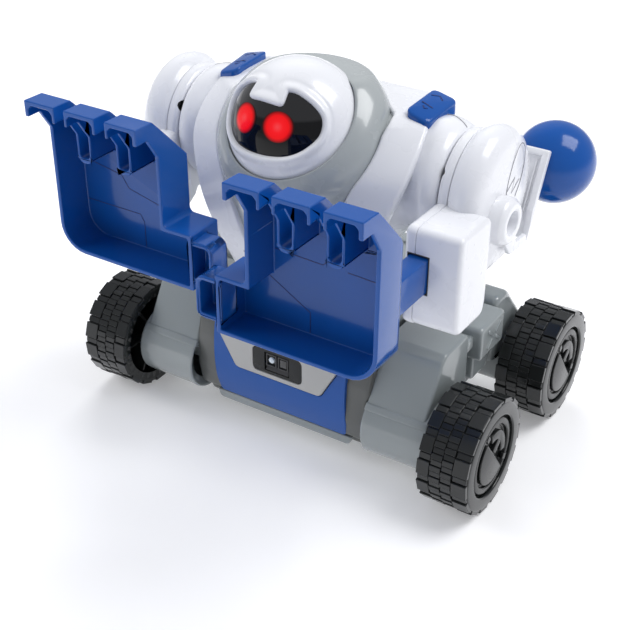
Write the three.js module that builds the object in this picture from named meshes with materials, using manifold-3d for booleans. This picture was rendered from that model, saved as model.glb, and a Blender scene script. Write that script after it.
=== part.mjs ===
// Toy robot on four wheels: fixed torso, ball head, swinging arms with sliding hands.
// Millimetres. +Z up, the robot faces -Y and its left side is +X.
import * as THREE from 'three';
import Module from 'manifold-3d';
import { mergeVertices } from 'three/addons/utils/BufferGeometryUtils.js';

const wasm = await Module();
wasm.setup();

// ---------- driving dimensions ----------
const GAP = 0.35; // clearance between neighbouring pieces
const WALL = 2.4; // moulded wall
const FRONT_AXLE_FROM_CENTRE = -13.26; // front axle's Y in the finished frame

const wheel = { radius: 30, width: 26.8, lugs: 15, root: 27.7, groove: 26.6, outer: 115.4,
  rearOuter: 112.4 };
const axle = { z: 30, rearY: 91, radius: 2 };
const tube = { radius: 18.7, inner: 51, bore: 15.5 };
const base = { halfX: 50, front: -6, rear: 106, floor: 12, split: 44.2, top: 72.8, podX: 84 };
const bay = { halfX: 33, front: 50, rear: 102 }; // battery compartment
const shoulder = { y: 34.5, z: 149, shaft: 8 };
const arm = { inner: 73, split: 79, face: 101.2, front: -21, bottom: 102, top: 150.7, arch: 27.6,
  bulge: 3.6 };
const bar = { x0: 75.6, x1: 85.2, z0: 120.6, z1: 137.7, length: 65.5 };
const hand = {
  inner: 31.2, outer: 95.3, bottom: 108.3, top: 189.4, capPitch: 23.3, capWidth: 17.5, capFront: -71.2,
  rimBack: 14, back: 34.5, leg: 7.8, thumbTip: 4.6, partition: 17.6, ledge: 137, thumbTop: 133.8,
    thumbLow: 113.4,
  slotFloor: 160.2,
};
const punch = { out: 24, lift: 0.8 }; // how far the left hand stands out, and how far that arm is raised
const head = { y: 6.9, z: 170.7, radius: 32.8, shell: 2.6, tilt: 47, seam: 9.8 };
const button = { x0: 47, x1: 57.8, y0: 24.6, y1: 51.8, low: 180.9, top: 183.3, pocket: 178.4,
  stem: [52.4, 38.2] };
const boss = { x0: 95.9, x1: 103.6, y: 25.3, z: 140.6, radius: 11.5, hole: 6 };
const paddle = { low: [55.4, 117.6], high: [75, 156.6], thick: 1.4, x0: 79, x1: 98.6,
  ring: { x0: 96.2, radius: 15 } };
const ball = { x: 93.9, y: 93.2, z: 143.2, radius: 20.4 };

// ---------- materials ----------
const paint = (color, roughness, extra = {}) => new THREE.MeshStandardMaterial({ color, roughness,
  metalness: 0, ...extra });
const blue = () => paint('#1d4fb0', 0.22);
const white = () => paint('#f1f2f4', 0.28);
const grey = () => paint('#8d9599', 0.42);
const paleGrey = () => paint('#b4b8b8', 0.35);
const black = () => paint('#121314', 0.2);
const steel = () => paint('#b9bdc2', 0.3, { metalness: 1 });
const glow = () => paint('#e8141a', 0.35, { emissive: '#ff1a14', emissiveIntensity: 2 });

// ---------- geometry helpers ----------
function solidOf(geometry) {
  const bare = geometry.index ? geometry.toNonIndexed() : geometry.clone();
  bare.deleteAttribute('normal');
  bare.deleteAttribute('uv');
  const merged = mergeVertices(bare, 1e-4);
  const vertProperties = new Float32Array(merged.attributes.position.array);
  const triVerts = Uint32Array.from(withoutSlivers(merged.index.array));
  if (volumeOf(vertProperties, triVerts) < 0) triVerts.reverse();
  return new wasm.Manifold(new wasm.Mesh({ numProp: 3, vertProperties, triVerts }));
}

function withoutSlivers(index) {
  const kept = [];
  for (let i = 0; i < index.length; i += 3) {
    const [a, b, c] = [index[i], index[i + 1], index[i + 2]];
    if (a !== b && b !== c && c !== a) kept.push(a, b, c);
  }
  return kept;
}

function volumeOf(p, index) {
  const corner = (i) => new THREE.Vector3(p[3 * i], p[3 * i + 1], p[3 * i + 2]);
  let sum = 0;
  for (let i = 0; i < index.length; i += 3) {
    sum += corner(index[i]).dot(corner(index[i + 1]).cross(corner(index[i + 2])));
  }
  return sum / 6;
}

function geometryOf(solid, flip = false) {
  const mesh = solid.getMesh();
  const positions = new Float32Array(mesh.vertProperties);
  const index = new Uint32Array(mesh.triVerts);
  if (flip) {
    for (let i = 0; i < positions.length; i += 3) positions[i] *= -1;
    for (let i = 0; i < index.length; i += 3) [index[i], index[i + 1]] = [index[i + 1], index[i]];
  }
  const geometry = new THREE.BufferGeometry();
  geometry.setAttribute('position', new THREE.BufferAttribute(positions, 3));
  geometry.setIndex(new THREE.BufferAttribute(index, 1));
  geometry.computeVertexNormals();
  return geometry;
}

const join = (...solids) => solids.reduce((sum, next) => sum.add(next));
const cut = (solid, ...tools) => tools.reduce((rest, tool) => rest.subtract(tool), solid);

function box(x0, x1, y0, y1, z0, z1) {
  const geometry = new THREE.BoxGeometry(x1 - x0, y1 - y0, z1 - z0);
  return solidOf(geometry.translate((x0 + x1) / 2, (y0 + y1) / 2, (z0 + z1) / 2));
}

function shapeOf(points, holes = []) {
  const shape = new THREE.Shape(points.map(([u, v]) => new THREE.Vector2(u, v)));
  shape.holes = holes.map((ring) => new THREE.Path(ring.map(([u, v]) => new THREE.Vector2(u, v))));
  return shape;
}

const frames = {
  x: new THREE.Matrix4().makeBasis(new THREE.Vector3(0, 1, 0), new THREE.Vector3(0, 0, 1),
    new THREE.Vector3(1, 0, 0)),
  y: new THREE.Matrix4().makeBasis(new THREE.Vector3(1, 0, 0), new THREE.Vector3(0, 0, 1),
    new THREE.Vector3(0, -1, 0)),
  z: new THREE.Matrix4(),
};

// Outline extruded along an axis from a to b, with an optional rounded edge at both ends.
function prism(axis, points, a, b, edge = null) {
  const depth = b - a;
  const options = edge
    ? { depth: depth - 2 * edge.thick, bevelEnabled: true, bevelThickness: edge.thick, bevelSize: edge.size,
        bevelSegments: edge.steps ?? 2, curveSegments: 6 }
    : { depth, bevelEnabled: false, curveSegments: 6 };
  const geometry = new THREE.ExtrudeGeometry(shapeOf(points), options);
  if (edge) geometry.translate(0, 0, edge.thick);
  geometry.applyMatrix4(frames[axis]);
  const shift = axis === 'y' ? b : a;
  const offset = { x: [shift, 0, 0], y: [0, shift, 0], z: [0, 0, shift] }[axis];
  return solidOf(geometry.translate(...offset));
}

function circle(u, v, radius, count, phase = 0) {
  return Array.from({ length: count }, (_, i) => {
    const angle = phase + (i * 2 * Math.PI) / count;
    return [u + radius * Math.cos(angle), v + radius * Math.sin(angle)];
  });
}

function arc(u, v, radius, from, to, count) {
  return Array.from({ length: count + 1 }, (_, i) => {
    const angle = THREE.MathUtils.degToRad(from + ((to - from) * i) / count);
    return [u + radius * Math.cos(angle), v + radius * Math.sin(angle)];
  });
}

const rod = (axis, u, v, radius, a, b, count = 24) => prism(axis,
  circle(u, v, radius, count, Math.PI / count), a, b);

function rounded(u0, u1, v0, v1, r, n = 3) {
  return [...arc(u1 - r, v0 + r, r, -90, 0, n), ...arc(u1 - r, v1 - r, r, 0, 90, n),
    ...arc(u0 + r, v1 - r, r, 90, 180, n), ...arc(u0 + r, v0 + r, r, 180, 270, n)];
}

// ---------- head frame: local +Z is the seam's axis, leaning forward ----------
const headFrame = new THREE.Matrix4()
  .makeTranslation(0, head.y, head.z)
  .multiply(new THREE.Matrix4().makeRotationX(THREE.MathUtils.degToRad(90 - head.tilt)));

function headLathe(points, count = 36) {
  const profile = points.map(([r, s]) => new THREE.Vector2(r, s));
  const geometry = new THREE.LatheGeometry(profile, count);
  geometry.applyMatrix4(new THREE.Matrix4().makeRotationX(Math.PI / 2));
  return solidOf(geometry.applyMatrix4(headFrame));
}

const sphereArc = (radius, from, to, count) => arc(0, 0, radius, from, to, count);

// Cutter that widens from the ball's centre: outline given as azimuth and elevation in degrees.
function sightCone(outline, lift, near, far) {
  const c = Math.cos(THREE.MathUtils.degToRad(lift));
  const s = Math.sin(THREE.MathUtils.degToRad(lift));
  const flat = outline.map(([az, el]) => {
    const a = THREE.MathUtils.degToRad(az);
    const e = THREE.MathUtils.degToRad(el);
    const d = [Math.sin(a) * Math.cos(e), Math.cos(a) * Math.cos(e), Math.sin(e)];
    const ahead = d[1] * c + d[2] * s;
    return [d[0] / ahead, (d[2] * c - d[1] * s) / ahead];
  });
  const geometry = new THREE.ExtrudeGeometry(shapeOf(flat), { depth: 1, bevelEnabled: false });
  const p = geometry.attributes.position;
  for (let i = 0; i < p.count; i += 1) {
    const reach = p.getZ(i) > 0.5 ? far : near;
    const u = p.getX(i) * reach;
    const v = p.getY(i) * reach;
    p.setXYZ(i, u, -(reach * c - v * s), reach * s + v * c);
  }
  return solidOf(geometry.translate(0, head.y, head.z));
}

// ---------- wheels ----------
function lugOutline(phase, radius) {
  const points = [];
  const step = (2 * Math.PI) / wheel.lugs;
  const half = step * 0.31;
  const tip = radius / Math.cos(half);
  for (let i = 0; i < wheel.lugs; i += 1) {
    const mid = -Math.PI / 2 + phase + i * step;
    for (const [angle, r] of [[mid - step * 0.4, wheel.root], [mid - half, tip], [mid + half, tip],
      [mid + step * 0.4, wheel.root]]) {
      points.push([r * Math.cos(angle), axle.z + r * Math.sin(angle)]);
    }
  }
  return points;
}

function tyreSolid(outer, y) {
  const inner = outer - wheel.width;
  const shifted = (points) => points.map(([u, v]) => [u + y, v]);
  const body = join(
    prism('x', shifted(lugOutline(0, wheel.radius)), inner + 14.6, outer),
    prism('x', shifted(lugOutline(Math.PI / wheel.lugs, wheel.radius - 0.2)), inner, inner + 13.2),
    rod('x', y, axle.z, wheel.groove, inner + 13, inner + 14.8, 24),
  );
  return cut(body,
    rod('x', y, axle.z, 20.4, outer - 2.4, outer + 1, 24),
    rod('x', y, axle.z, 23.6, inner - 1, outer - 12, 20),
    rod('x', y, axle.z, axle.radius + GAP, inner, outer, 12));
}

function hubSolid(outer, y) {
  const disc = rod('x', y, axle.z, 19.9, outer - 2.4 + GAP, outer - 0.7, 24);
  const ridge = prism('x', [[y - 14, axle.z - 4], [y - 9, axle.z - 10], [y + 14, axle.z + 4],
    [y + 9, axle.z + 10]],
    outer - 0.8, outer);
  return join(disc, ridge);
}

const axleSolid = (from, outer, y) => rod('x', y, axle.z, axle.radius, from, outer - 2.45, 12);

// ---------- chassis ----------
function chassisLower() {
  const pair = (make) => [make(1), make(-1)].map((g, i) => (i ? solidOf(geometryOf(g, true)) : g));
  const tubes = pair(() => rod('x', 0, axle.z, tube.radius, tube.inner - 3, 86.6, 28));
  const rears = pair(() => prism('x', rounded(axle.rearY - 13, axle.rearY + 13, 16, base.split, 6), 48,
    82.6));
  const bores = pair(() => rod('x', 0, axle.z, tube.bore, 47, 83.6, 20));
  const holes = pair(() => rod('x', 0, axle.z, axle.radius + GAP, 40, 90, 12));
  const rearHoles = pair(() => rod('x', axle.rearY, axle.z, axle.radius + GAP, 40, 90, 12));
  const rearHollow = pair(() => box(46, 79.6, axle.rearY - 10, axle.rearY + 10, 19, base.split + 1));
  const lip = prism('x', [[base.front - 2.2, 12], [base.front - 3.2, 16.6], [base.front + 1, 16.6],
    [base.front + 1, 12]], -39.6, 39.6);
  let body = join(box(-base.halfX, base.halfX, base.front, base.rear, base.floor, base.split), ...tubes,
    ...rears, lip);
  body = cut(body, box(-base.halfX + WALL, base.halfX - WALL, base.front + WALL, base.rear - WALL,
    base.floor + WALL, base.split + 1));
  body = cut(body, ...bores, ...holes, ...rearHoles, ...rearHollow);
  return cut(body, box(-bay.halfX, bay.halfX, bay.front, bay.rear, base.floor - 1, base.floor + WALL + 1));
}

function podSide() {
  const z0 = base.split + GAP;
  const front = prism('x', [[-12.6, z0], [3.6, 70], [6.6, base.top], [27, base.top], [32, 66.5], [32, z0]],
    44, base.podX);
  const middle = prism('x', [[30, z0], [30, 66], [66, 66], [66, z0]], 44, 79);
  const vent = prism('x', rounded(36, 63, 52, 71.6, 2.5, 2), 60, 88);
  const rear = prism('x', [[65, z0], [65, base.top], [80, base.top], [104, z0]], 44, 82);
  return join(front, middle, vent, rear);
}

function chassisUpper() {
  const z0 = base.split + GAP;
  const side = podSide();
  const other = solidOf(geometryOf(side, true));
  let body = join(box(-base.halfX, base.halfX, base.front, base.rear, z0, base.top), side, other);
  const hollow = box(-base.halfX + WALL, base.halfX - WALL, base.front + WALL, base.rear - WALL, z0 - 1,
    base.top - WALL);
  const podHollow = (s) => [
    box(...(s > 0 ? [46, 81.4] : [-81.4, -46]), 6, 29, z0 - 1, base.top - 3),
    prism('x', [[69, z0 - 1], [69, 69.5], [78.5, 69.5], [100, z0 - 1]],
      ...(s > 0 ? [46, 79.4] : [-79.4, -46])),
  ];
  const slot = (s, y, z) => prism('x',
    [[y - 4, z - 3.2], [y - 3, z - 4.2], [y + 4, z + 3.2], [y + 3, z + 4.2]],
    ...(s > 0 ? [86.8, 90] : [-90, -86.8]));
  body = cut(body, hollow, ...podHollow(1), ...podHollow(-1));
  for (const s of [1, -1]) body = cut(body, slot(s, 45, 62), slot(s, 54, 62));
  body = cut(body, prism('z', circle(0, 52, 14, 24), base.top - 5, base.top + 1));
  body = cut(body, box(-5.4, 5.4, base.rear - 4, base.rear + 1, 55.6, 60.4));
  return cut(body, rod('x', 0, axle.z, tube.radius + GAP, -90, 90, 28));
}

function apron() {
  const face = [[-9.6, 17.3], [-12.4, 28], [-13.6, 39], [-13.2, 52], [-10.8, 66], [-8.8, 72.6]];
  const inside = face.map(([y, z]) => [Math.min(y + 3, base.front - GAP), z]).reverse();
  const body = prism('x', [...face, ...inside], -39.7, 39.7);
  const front = prism('y', [[-38, 17.2], [38, 17.2], [39.7, 26], [39.7, 60], [35, 72.7], [-35, 72.7],
    [-39.7, 60], [-39.7, 26]], -20, 0);
  return cut(body.intersect(front), prism('y', bezelOutline(GAP), -20, -11.4));
}

const bezelOutline = (grow) => [[-25.4 - grow, 38.9 - grow], [25.4 + grow, 38.9 - grow],
  [36.2 + grow, 58 - grow],
  [34 + grow, 61 + grow], [-34 - grow, 61 + grow], [-36.2 - grow, 58 - grow]];

function bezel() {
  const plate = prism('y', bezelOutline(0), -14.1, -11.4 - GAP);
  return cut(plate, prism('y', rounded(-13.7 - GAP, 13.7 + GAP, 42.5 - GAP, 56 + GAP, 3), -20, 0));
}

function sensorWindow() {
  const plate = prism('y', rounded(-13.7, 13.7, 42.5, 56, 3), -14.0, -11.4 - GAP);
  return cut(plate, box(-5.2, 5.2, -20, -13, 45, 52.6), rod('y', -2.6, 50, 1.8, -20, -10, 12),
    box(0.9, 4.9, -20, -10, 48, 52.2));
}

// ---------- torso ----------
const mirrored = (half) => [...half, ...half.map(([u, v]) => [-u, v]).reverse()];
const chestFront = mirrored([[24, 72.9], [29, 92], [38.3, 106], [47, 122], [53.5, 138], [58.5, 152],
  [60.5, 164], [60, 174],
  [56.6, 181], [44, 184.2]]);
const chestSide = [[-6, 72.8], [-10, 92], [-14, 114], [-19, 130], [-19, 142], [-10, 152], [-3, 160],
  [8, 170], [18, 177.5],
  [27, 181.6], [52, 181.6], [61, 178], [69, 173], [76, 163], [79, 150], [77, 110], [62, 84], [52, 72.8]];
const chestPlan = mirrored([[23, -21], [36, -9.5], [57, -2], [61.5, 5], [61.5, 90]]);
const inset = (points, cu, cv, du, dv) => points.map(([u, v]) => [cu + (u - cu) * (1 - du),
  cv + (v - cv) * (1 - dv)]);

function torsoBody() {
  const z0 = base.top + GAP;
  const outer = prism('y', chestFront, -40, 90).intersect(prism('x', chestSide, -70, 70))
    .intersect(prism('z', chestPlan, 60, 200));
  const ring = (s) => rod('x', shoulder.y, shoulder.z, 27,
    ...(s > 0 ? [50, arm.inner - 0.6] : [-arm.inner + 0.6, -50]), 28);
  const inner = prism('y', inset(chestFront, 0, 110, 0.09, 0.06), -35, 90)
    .intersect(prism('x', inset(chestSide, 30, 110, 0.09, 0.06), -70, 70))
    .intersect(prism('z', inset(chestPlan, 0, 40, 0.05, 0.07), 60, 200));
  const bores = rod('x', shoulder.y, shoulder.z, shoulder.shaft + GAP, -90, 90, 16);
  const pocket = (s) => prism('z', rounded(...(s > 0 ? [button.x0 - GAP,
    button.x1 + GAP] : [-button.x1 - GAP, -button.x0 + GAP]),
    button.y0 - GAP, button.y1 + GAP, 4), button.pocket, 190);
  const stem = (s) => rod('z', s * button.stem[0], button.stem[1], 3 + GAP, 168, 190, 12);
  let body = join(outer, ring(1), ring(-1)).subtract(inner);
  body = cut(body, bores, pocket(1), pocket(-1), stem(1), stem(-1));
  body = cut(body, collarOuter(GAP));
  body = cut(body, prism('z', circle(0, 52, 12.6, 20), 60, 80));
  return cut(body, box(-80, 80, -60, 100, 40, z0));
}

const torsoSplit = 41;
const torsoFront = (body) => body.intersect(box(-90, 90, -60, torsoSplit - GAP / 2, 0, 220));
const torsoBack = (body) => body.intersect(box(-90, 90, torsoSplit + GAP / 2, 120, 0, 220));

const collarTop = 194.8;

function collarOuter(grow) {
  return headLathe([[0, -40 - grow], [21 + grow, -37 - grow], [36 + grow, -24 - grow], [42.6 + grow, -8],
    [41.4 + grow, 0],
    [33.4 + grow, 9.8 + grow], [0, 9.8 + grow]], 28);
}

function collar() {
  const hollow = headLathe([[0, -34], [19, -32], [33.6, -20], [33.6, 4.4], [31.8, 9.9], [31.8, 14],
    [0, 14]], 28);
  const stem = headLathe([[0, -50], [9, -50], [9, -20], [0, -20]], 16);
  return cut(collarOuter(0), hollow, stem, box(-60, 60, -60, 90, collarTop, 230));
}

// ---------- head ----------
const visorOutline = [[-54, 30], [-54, 20], [-47, 10], [-34, 2], [-18, -2.2], [0, -3], [18, -2.2], [34, 2],
  [47, 10], [54, 20],
  [54, 30], [47, 40], [38, 46], [31, 49], [22.5, 49.8], [19.5, 38], [-19.5, 38], [-22.5, 49.8], [-31, 49],
    [-38, 46], [-47, 40]];
const eye = { az: 17.3, el: 21.5, radius: 6.9 };

function helmet() {
  const r = head.radius;
  const ri = r - head.shell;
  const shell = headLathe([...sphereArc(ri, 90, -12, 6), ...sphereArc(r, -12, 90, 8)], 28);
  return cut(shell, sightCone(visorOutline, 20, 10, 60));
}

function visor() {
  const r = head.radius - head.shell - 0.9;
  const ri = r - 2.4;
  const shell = headLathe([...sphereArc(ri, 90, -10, 4), ...sphereArc(r, -10, 90, 6)], 24);
  const grown = visorOutline.map(([az, el]) => [az * 1.07, (el - 20) * 1.12 + 20]);
  let body = shell.intersect(sightCone(grown, 20, 10, 60));
  for (const s of [1, -1]) body = cut(body, eyeRod(s, eye.radius + GAP, 20, 40));
  return body;
}

function eyeRod(s, radius, near, far, dome = 0) {
  const profile = [[0, near], [radius, near], [radius, far],
    ...(dome ? [[radius * 0.6, far + dome * 0.75]] : []), [0, far + dome]];
  const geometry = new THREE.LatheGeometry(profile.map(([a, b]) => new THREE.Vector2(a, b)), 24);
  const aim = new THREE.Vector3(
    s * Math.sin(THREE.MathUtils.degToRad(eye.az)) * Math.cos(THREE.MathUtils.degToRad(eye.el)),
    -Math.cos(THREE.MathUtils.degToRad(eye.az)) * Math.cos(THREE.MathUtils.degToRad(eye.el)),
    Math.sin(THREE.MathUtils.degToRad(eye.el)),
  );
  const turn = new THREE.Quaternion().setFromUnitVectors(new THREE.Vector3(0, 1, 0), aim);
  geometry.applyQuaternion(turn);
  return solidOf(geometry.translate(0, head.y, head.z));
}

const neck = () => headLathe([[0, -52], [8.6, -52], [8.6, -22], [24, -12.5], [24, -9], [0, -9]], 16);

// ---------- arms (drawn for the left side, about the shoulder axis) ----------
const foreProfile = (grow = 0) => [
  [arm.front + 3 - grow, arm.bottom - grow], [8, arm.bottom - grow], [24, 110 - grow], [24, arm.top + grow],
  [arm.front + 3 - grow, arm.top + grow], [arm.front - grow, arm.top - 3 + grow],
    [arm.front - grow, arm.bottom + 3 - grow],
];
const archProfile = (r) => [[shoulder.y - r, 128], [14, 113.4], [43, 113.4],
  ...arc(shoulder.y, shoulder.z, r, -48, 180, 18)];
const sideProfile = (r, grow) => prism('x', foreProfile(grow), 60, 120)
  .add(prism('x', archProfile(r), 60, 120));

function barTunnel() {
  return box(bar.x0 - GAP, bar.x1 + GAP, -60, 64, bar.z0 - GAP, bar.z1 + GAP);
}

function armInner() {
  const body = sideProfile(arm.arch, 0).intersect(box(arm.inner, arm.split - GAP / 2, -60, 100, 60, 220));
  const hollow = sideProfile(arm.arch - WALL, -WALL)
    .intersect(box(arm.inner + WALL, arm.split + 1, -60, 60, 60, 220));
  const recess = rod('x', 14, 162, 2.9, arm.inner - 1, arm.inner + 1.4, 14);
  return cut(body, hollow, barTunnel().intersect(box(70, 90, -60, 5, 0, 200)),
    rod('x', shoulder.y, shoulder.z, shoulder.shaft + GAP, 60, 90, 16), recess);
}

function armOuter() {
  const x0 = arm.split + GAP / 2;
  const edge = { thick: 5.4, size: arm.bulge, steps: 2 };
  const archBody = prism('x', archProfile(arm.arch), x0, 95.5, edge);
  const edge2 = { thick: 4, size: 3.2, steps: 2 };
  const foreBody = join(
    prism('x', foreProfile(-3.2), x0 - 6, 91, edge2),
    prism('x', foreProfile(-3.2), x0 - 6, arm.face, edge2).intersect(box(60, 120, -60, 8, 60, 220)),
  ).intersect(box(x0, 120, -60, 100, 60, 220));
  const hollowArch = prism('x', archProfile(arm.arch - WALL + 0.6), x0 - 1, 95.5 - WALL);
  const hollowFore = prism('x', foreProfile(-WALL - 0.4), x0 - 1, 91 - WALL)
    .add(prism('x', foreProfile(-WALL - 0.4), x0 - 1, arm.face - WALL)
      .intersect(box(60, 120, -60, 8 - WALL, 60, 220)));
  return cut(join(archBody, foreBody), hollowArch.add(hollowFore),
    barTunnel().intersect(box(70, 90, -60, 5, 0, 200)),
    rod('x', boss.y, boss.z, 3.2, 88, 120, 12));
}

const shoulderShaft = () => join(
  rod('x', shoulder.y, shoulder.z, shoulder.shaft, 44, 91, 16),
  rod('x', shoulder.y, shoulder.z, 12, 76.2, 78.6, 20),
);

const armScrew = () => rod('x', 14, 162, 2.5, arm.inner + 0.2, arm.inner + 1.3, 12);
const bossSolid = () => cut(
  prism('x', circle(boss.y, boss.z, boss.radius - 1.4, 24), boss.x0, boss.x1,
    { thick: 1.4, size: 1.4, steps: 1 }),
  rod('x', boss.y, boss.z, boss.hole, boss.x1 - 5.5, boss.x1 + 1, 18));

function barSolid(reach) {
  const y0 = hand.capFront + hand.back - reach + GAP;
  const body = box(bar.x0, bar.x1, y0, y0 + bar.length, bar.z0, bar.z1);
  return cut(body, box(bar.x0 + 2, bar.x1 - 2, y0 + 30, y0 + bar.length + 1, bar.z0 + 2, bar.z1 - 2));
}

function handSolid(reach) {
  const f = hand.capFront;
  const rim = f + hand.rimBack;
  const back = f + hand.back;
  const t = WALL - 0.4;
  const { inner, outer, bottom, top } = hand;
  const side = [
    [f, top], [f, top - hand.leg], [f + 8, top - hand.leg], [rim, 171], [rim, bottom],
    [back, bottom], [back, 160], [f + 16, top - 4], [f + 12, top],
  ];
  const sideIn = [
    [f - 9, top - t], [f - 9, bottom - 9], [back - t, bottom - 9], [back - t, 159],
    [f + 15.4 - t, top - 5.4], [f + 12.4 - t, top - t],
  ];
  const slotLow = hand.slotFloor - t;
  const frame = [
    [hand.partition - t, bottom], [outer - 14, bottom],
      ...arc(outer - 14, bottom + 14, 14, -90, 0, 5).slice(1),
    [outer, top + 1], [inner, top + 1], [inner, hand.ledge + 2], [inner - 2, hand.ledge],
      [hand.partition - t, hand.ledge],
  ];
  const frameIn = [
    [hand.partition, bottom + t], [outer - 14, bottom + t],
      ...arc(outer - 14, bottom + 14, 14 - t, -90, 0, 5).slice(1),
    [outer - t, slotLow], [inner + t, slotLow], [inner + t, hand.ledge - t],
      [hand.partition, hand.ledge - t],
  ];
  let body = prism('x', side, 0, 110).intersect(prism('y', frame, -140, 0));
  body = cut(body, prism('x', sideIn, 0, 110).intersect(prism('y', frameIn, -140, 0)));
  for (let k = 0; k < 3; k += 1) {
    const x0 = inner + k * hand.capPitch;
    body = cut(body, prism('x', sideIn, x0 + t, x0 + hand.capWidth - t)
      .intersect(box(0, 110, -140, 0, slotLow - 2, 200)));
    if (k < 2) {
      const slot = box(x0 + hand.capWidth, x0 + hand.capPitch, -140, back - t, hand.slotFloor, 200);
      body = cut(body, slot, box(x0 + hand.capWidth, x0 + hand.capPitch, -140, 0, 172, 200));
    }
  }
  const tip = box(hand.thumbTip, hand.partition - t + 0.2, rim + 0.4, rim + 11, hand.thumbLow,
    hand.thumbTop);
  body = join(body, tip);
  body = cut(body, box(hand.thumbTip + t, hand.partition - t, rim - 5, rim + 9, hand.thumbLow + t,
    hand.thumbTop - t));
  return body.translate([0, -reach, 0]);
}

// ---------- ball paddle (left arm) ----------
function paddleSolid() {
  const { low, high, thick, x0, x1, ring } = paddle;
  const length = Math.hypot(high[0] - low[0], high[1] - low[1]);
  const n = [(high[1] - low[1]) / length, -(high[0] - low[0]) / length];
  const off = ([u, v], d) => [u + n[0] * d, v + n[1] * d];
  const plate = prism('x', [low, high, off(high, thick), off(low, thick)], x0, x1);
  const lip = prism('x', [off(low, -3), off(high, -3), off(high, thick), off(low, thick)], ring.x0, x1);
  const lever = prism('x', [[27, 129], [36, 117.8], [52, 116.8], [56, 117.4], [55, 121.5], [44, 121.5],
    [36, 134]], ring.x0, x1);
  const hub = rod('x', boss.y, boss.z, ring.radius, ring.x0, x1, 24);
  return cut(join(plate, lip, lever, hub), rod('x', boss.y, boss.z, boss.radius + GAP, 90, 110, 24));
}

const ballSolid = () => solidOf(new THREE.SphereGeometry(ball.radius, 22, 12).rotateX(Math.PI / 2)
  .translate(ball.x, ball.y, ball.z));

// ---------- assembly ----------
const root = new THREE.Group();
root.name = 'toy_robot';
root.position.set(0, FRONT_AXLE_FROM_CENTRE, 0);

function put(parent, name, solid, material, flip = false) {
  const mesh = new THREE.Mesh(geometryOf(solid, flip), material);
  mesh.name = name;
  parent.add(mesh);
  return mesh;
}

function group(parent, name) {
  const made = new THREE.Group();
  made.name = name;
  parent.add(made);
  return made;
}

function addBase() {
  const g = group(root, 'base');
  put(g, 'chassis_lower', chassisLower(), grey());
  put(g, 'chassis_upper', chassisUpper(), grey());
  put(g, 'front_apron', apron(), blue());
  put(g, 'sensor_bezel', bezel(), paleGrey());
  put(g, 'sensor_window', sensorWindow(), black());
  put(g, 'ir_led', rod('y', -2.6, 50, 1.5, -13.6, -11.8, 12), paint('#cfe0ee', 0.1));
  put(g, 'ir_receiver', box(1.3, 4.5, -13.4, -11.8, 48.4, 51.8), paint('#1b1c20', 0.25));
  put(g, 'battery_cover', box(-bay.halfX + GAP, bay.halfX - GAP, bay.front + GAP, bay.rear - GAP,
    base.floor, base.floor + 2), grey());
  for (let i = 0; i < 4; i += 1) {
    const x = -24 + i * 16;
    const cell = join(rod('y', x, 22.2, 7.2, 51.5, 99.5, 18), rod('y', x, 22.2, 2.7, 99, 101, 12));
    put(g, `battery_${i + 1}`, cell, paint('#30343a', 0.35, { metalness: 0.3 }));
  }
  put(g, 'circuit_board', box(-34, 34, 24, 86, 47.4, 49), paint('#1f6b3a', 0.5));
  put(g, 'speaker', join(rod('z', 0, 52, 11.6, 64.6, 67, 24), rod('z', 0, 52, 7, 60, 65, 20)),
    paint('#26282b', 0.6));
  const knob = join(box(-4.4, 0.4, base.rear - 5.6, base.rear - WALL - GAP, 54.6, 61.4),
    box(-4, 0, base.rear - 3, base.rear + 1.4, 56.2, 59.8));
  put(g, 'power_switch', knob, black());
  for (const [tag, flip] of [['left', false], ['right', true]]) {
    put(g, `gearbox_${tag}`, cut(box(17, 46.8, -3, 22, 15, 43),
      rod('x', 0, axle.z, axle.radius + GAP, 25, 60, 16)), paint('#d9d6cc', 0.5), flip);
    const can = join(rod('y', 32, 30, 9.8, 22.4, 46.4, 20), rod('y', 32, 30, 3, 46, 48, 12));
    put(g, `drive_motor_${tag}`, can, steel(), flip);
  }
}

function addWheels() {
  for (const [end, y, outer, from] of [['front', 0, wheel.outer, 26],
    ['rear', axle.rearY, wheel.rearOuter, 52]]) {
    for (const [tag, flip] of [['left', false], ['right', true]]) {
      const g = group(root, `wheel_set_${end}_${tag}`);
      put(g, `wheel_${end}_${tag}`, tyreSolid(outer, y), black(), flip);
      put(g, `hub_${end}_${tag}`, hubSolid(outer, y), black(), flip);
      put(g, `axle_${end}_${tag}`, axleSolid(from, outer, y), steel(), flip);
    }
  }
}

function addTorso() {
  const g = group(root, 'torso');
  const body = torsoBody();
  put(g, 'torso_front', torsoFront(body), white());
  put(g, 'torso_back', torsoBack(body), white());
  put(g, 'collar', collar(), paleGrey());
  for (const [tag, flip] of [['left', false], ['right', true]]) {
    const cap = prism('z', rounded(button.x0, button.x1, button.y0, button.y1, 3.4), button.low,
      button.top);
    put(g, `shoulder_button_${tag}`, join(cap, rod('z', ...button.stem, 3, 171, button.low + 0.8, 12)),
      blue(), flip);
  }
}

function addHead() {
  const g = group(root, 'head');
  put(g, 'helmet', helmet(), white());
  put(g, 'visor', visor(), black());
  put(g, 'neck_pivot', neck(), grey());
  put(g, 'eye_left', eyeRod(1, eye.radius, 25.6, 29.4, 1.1), glow());
  put(g, 'eye_right', eyeRod(-1, eye.radius, 25.6, 29.4, 1.1), glow());
}

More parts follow.
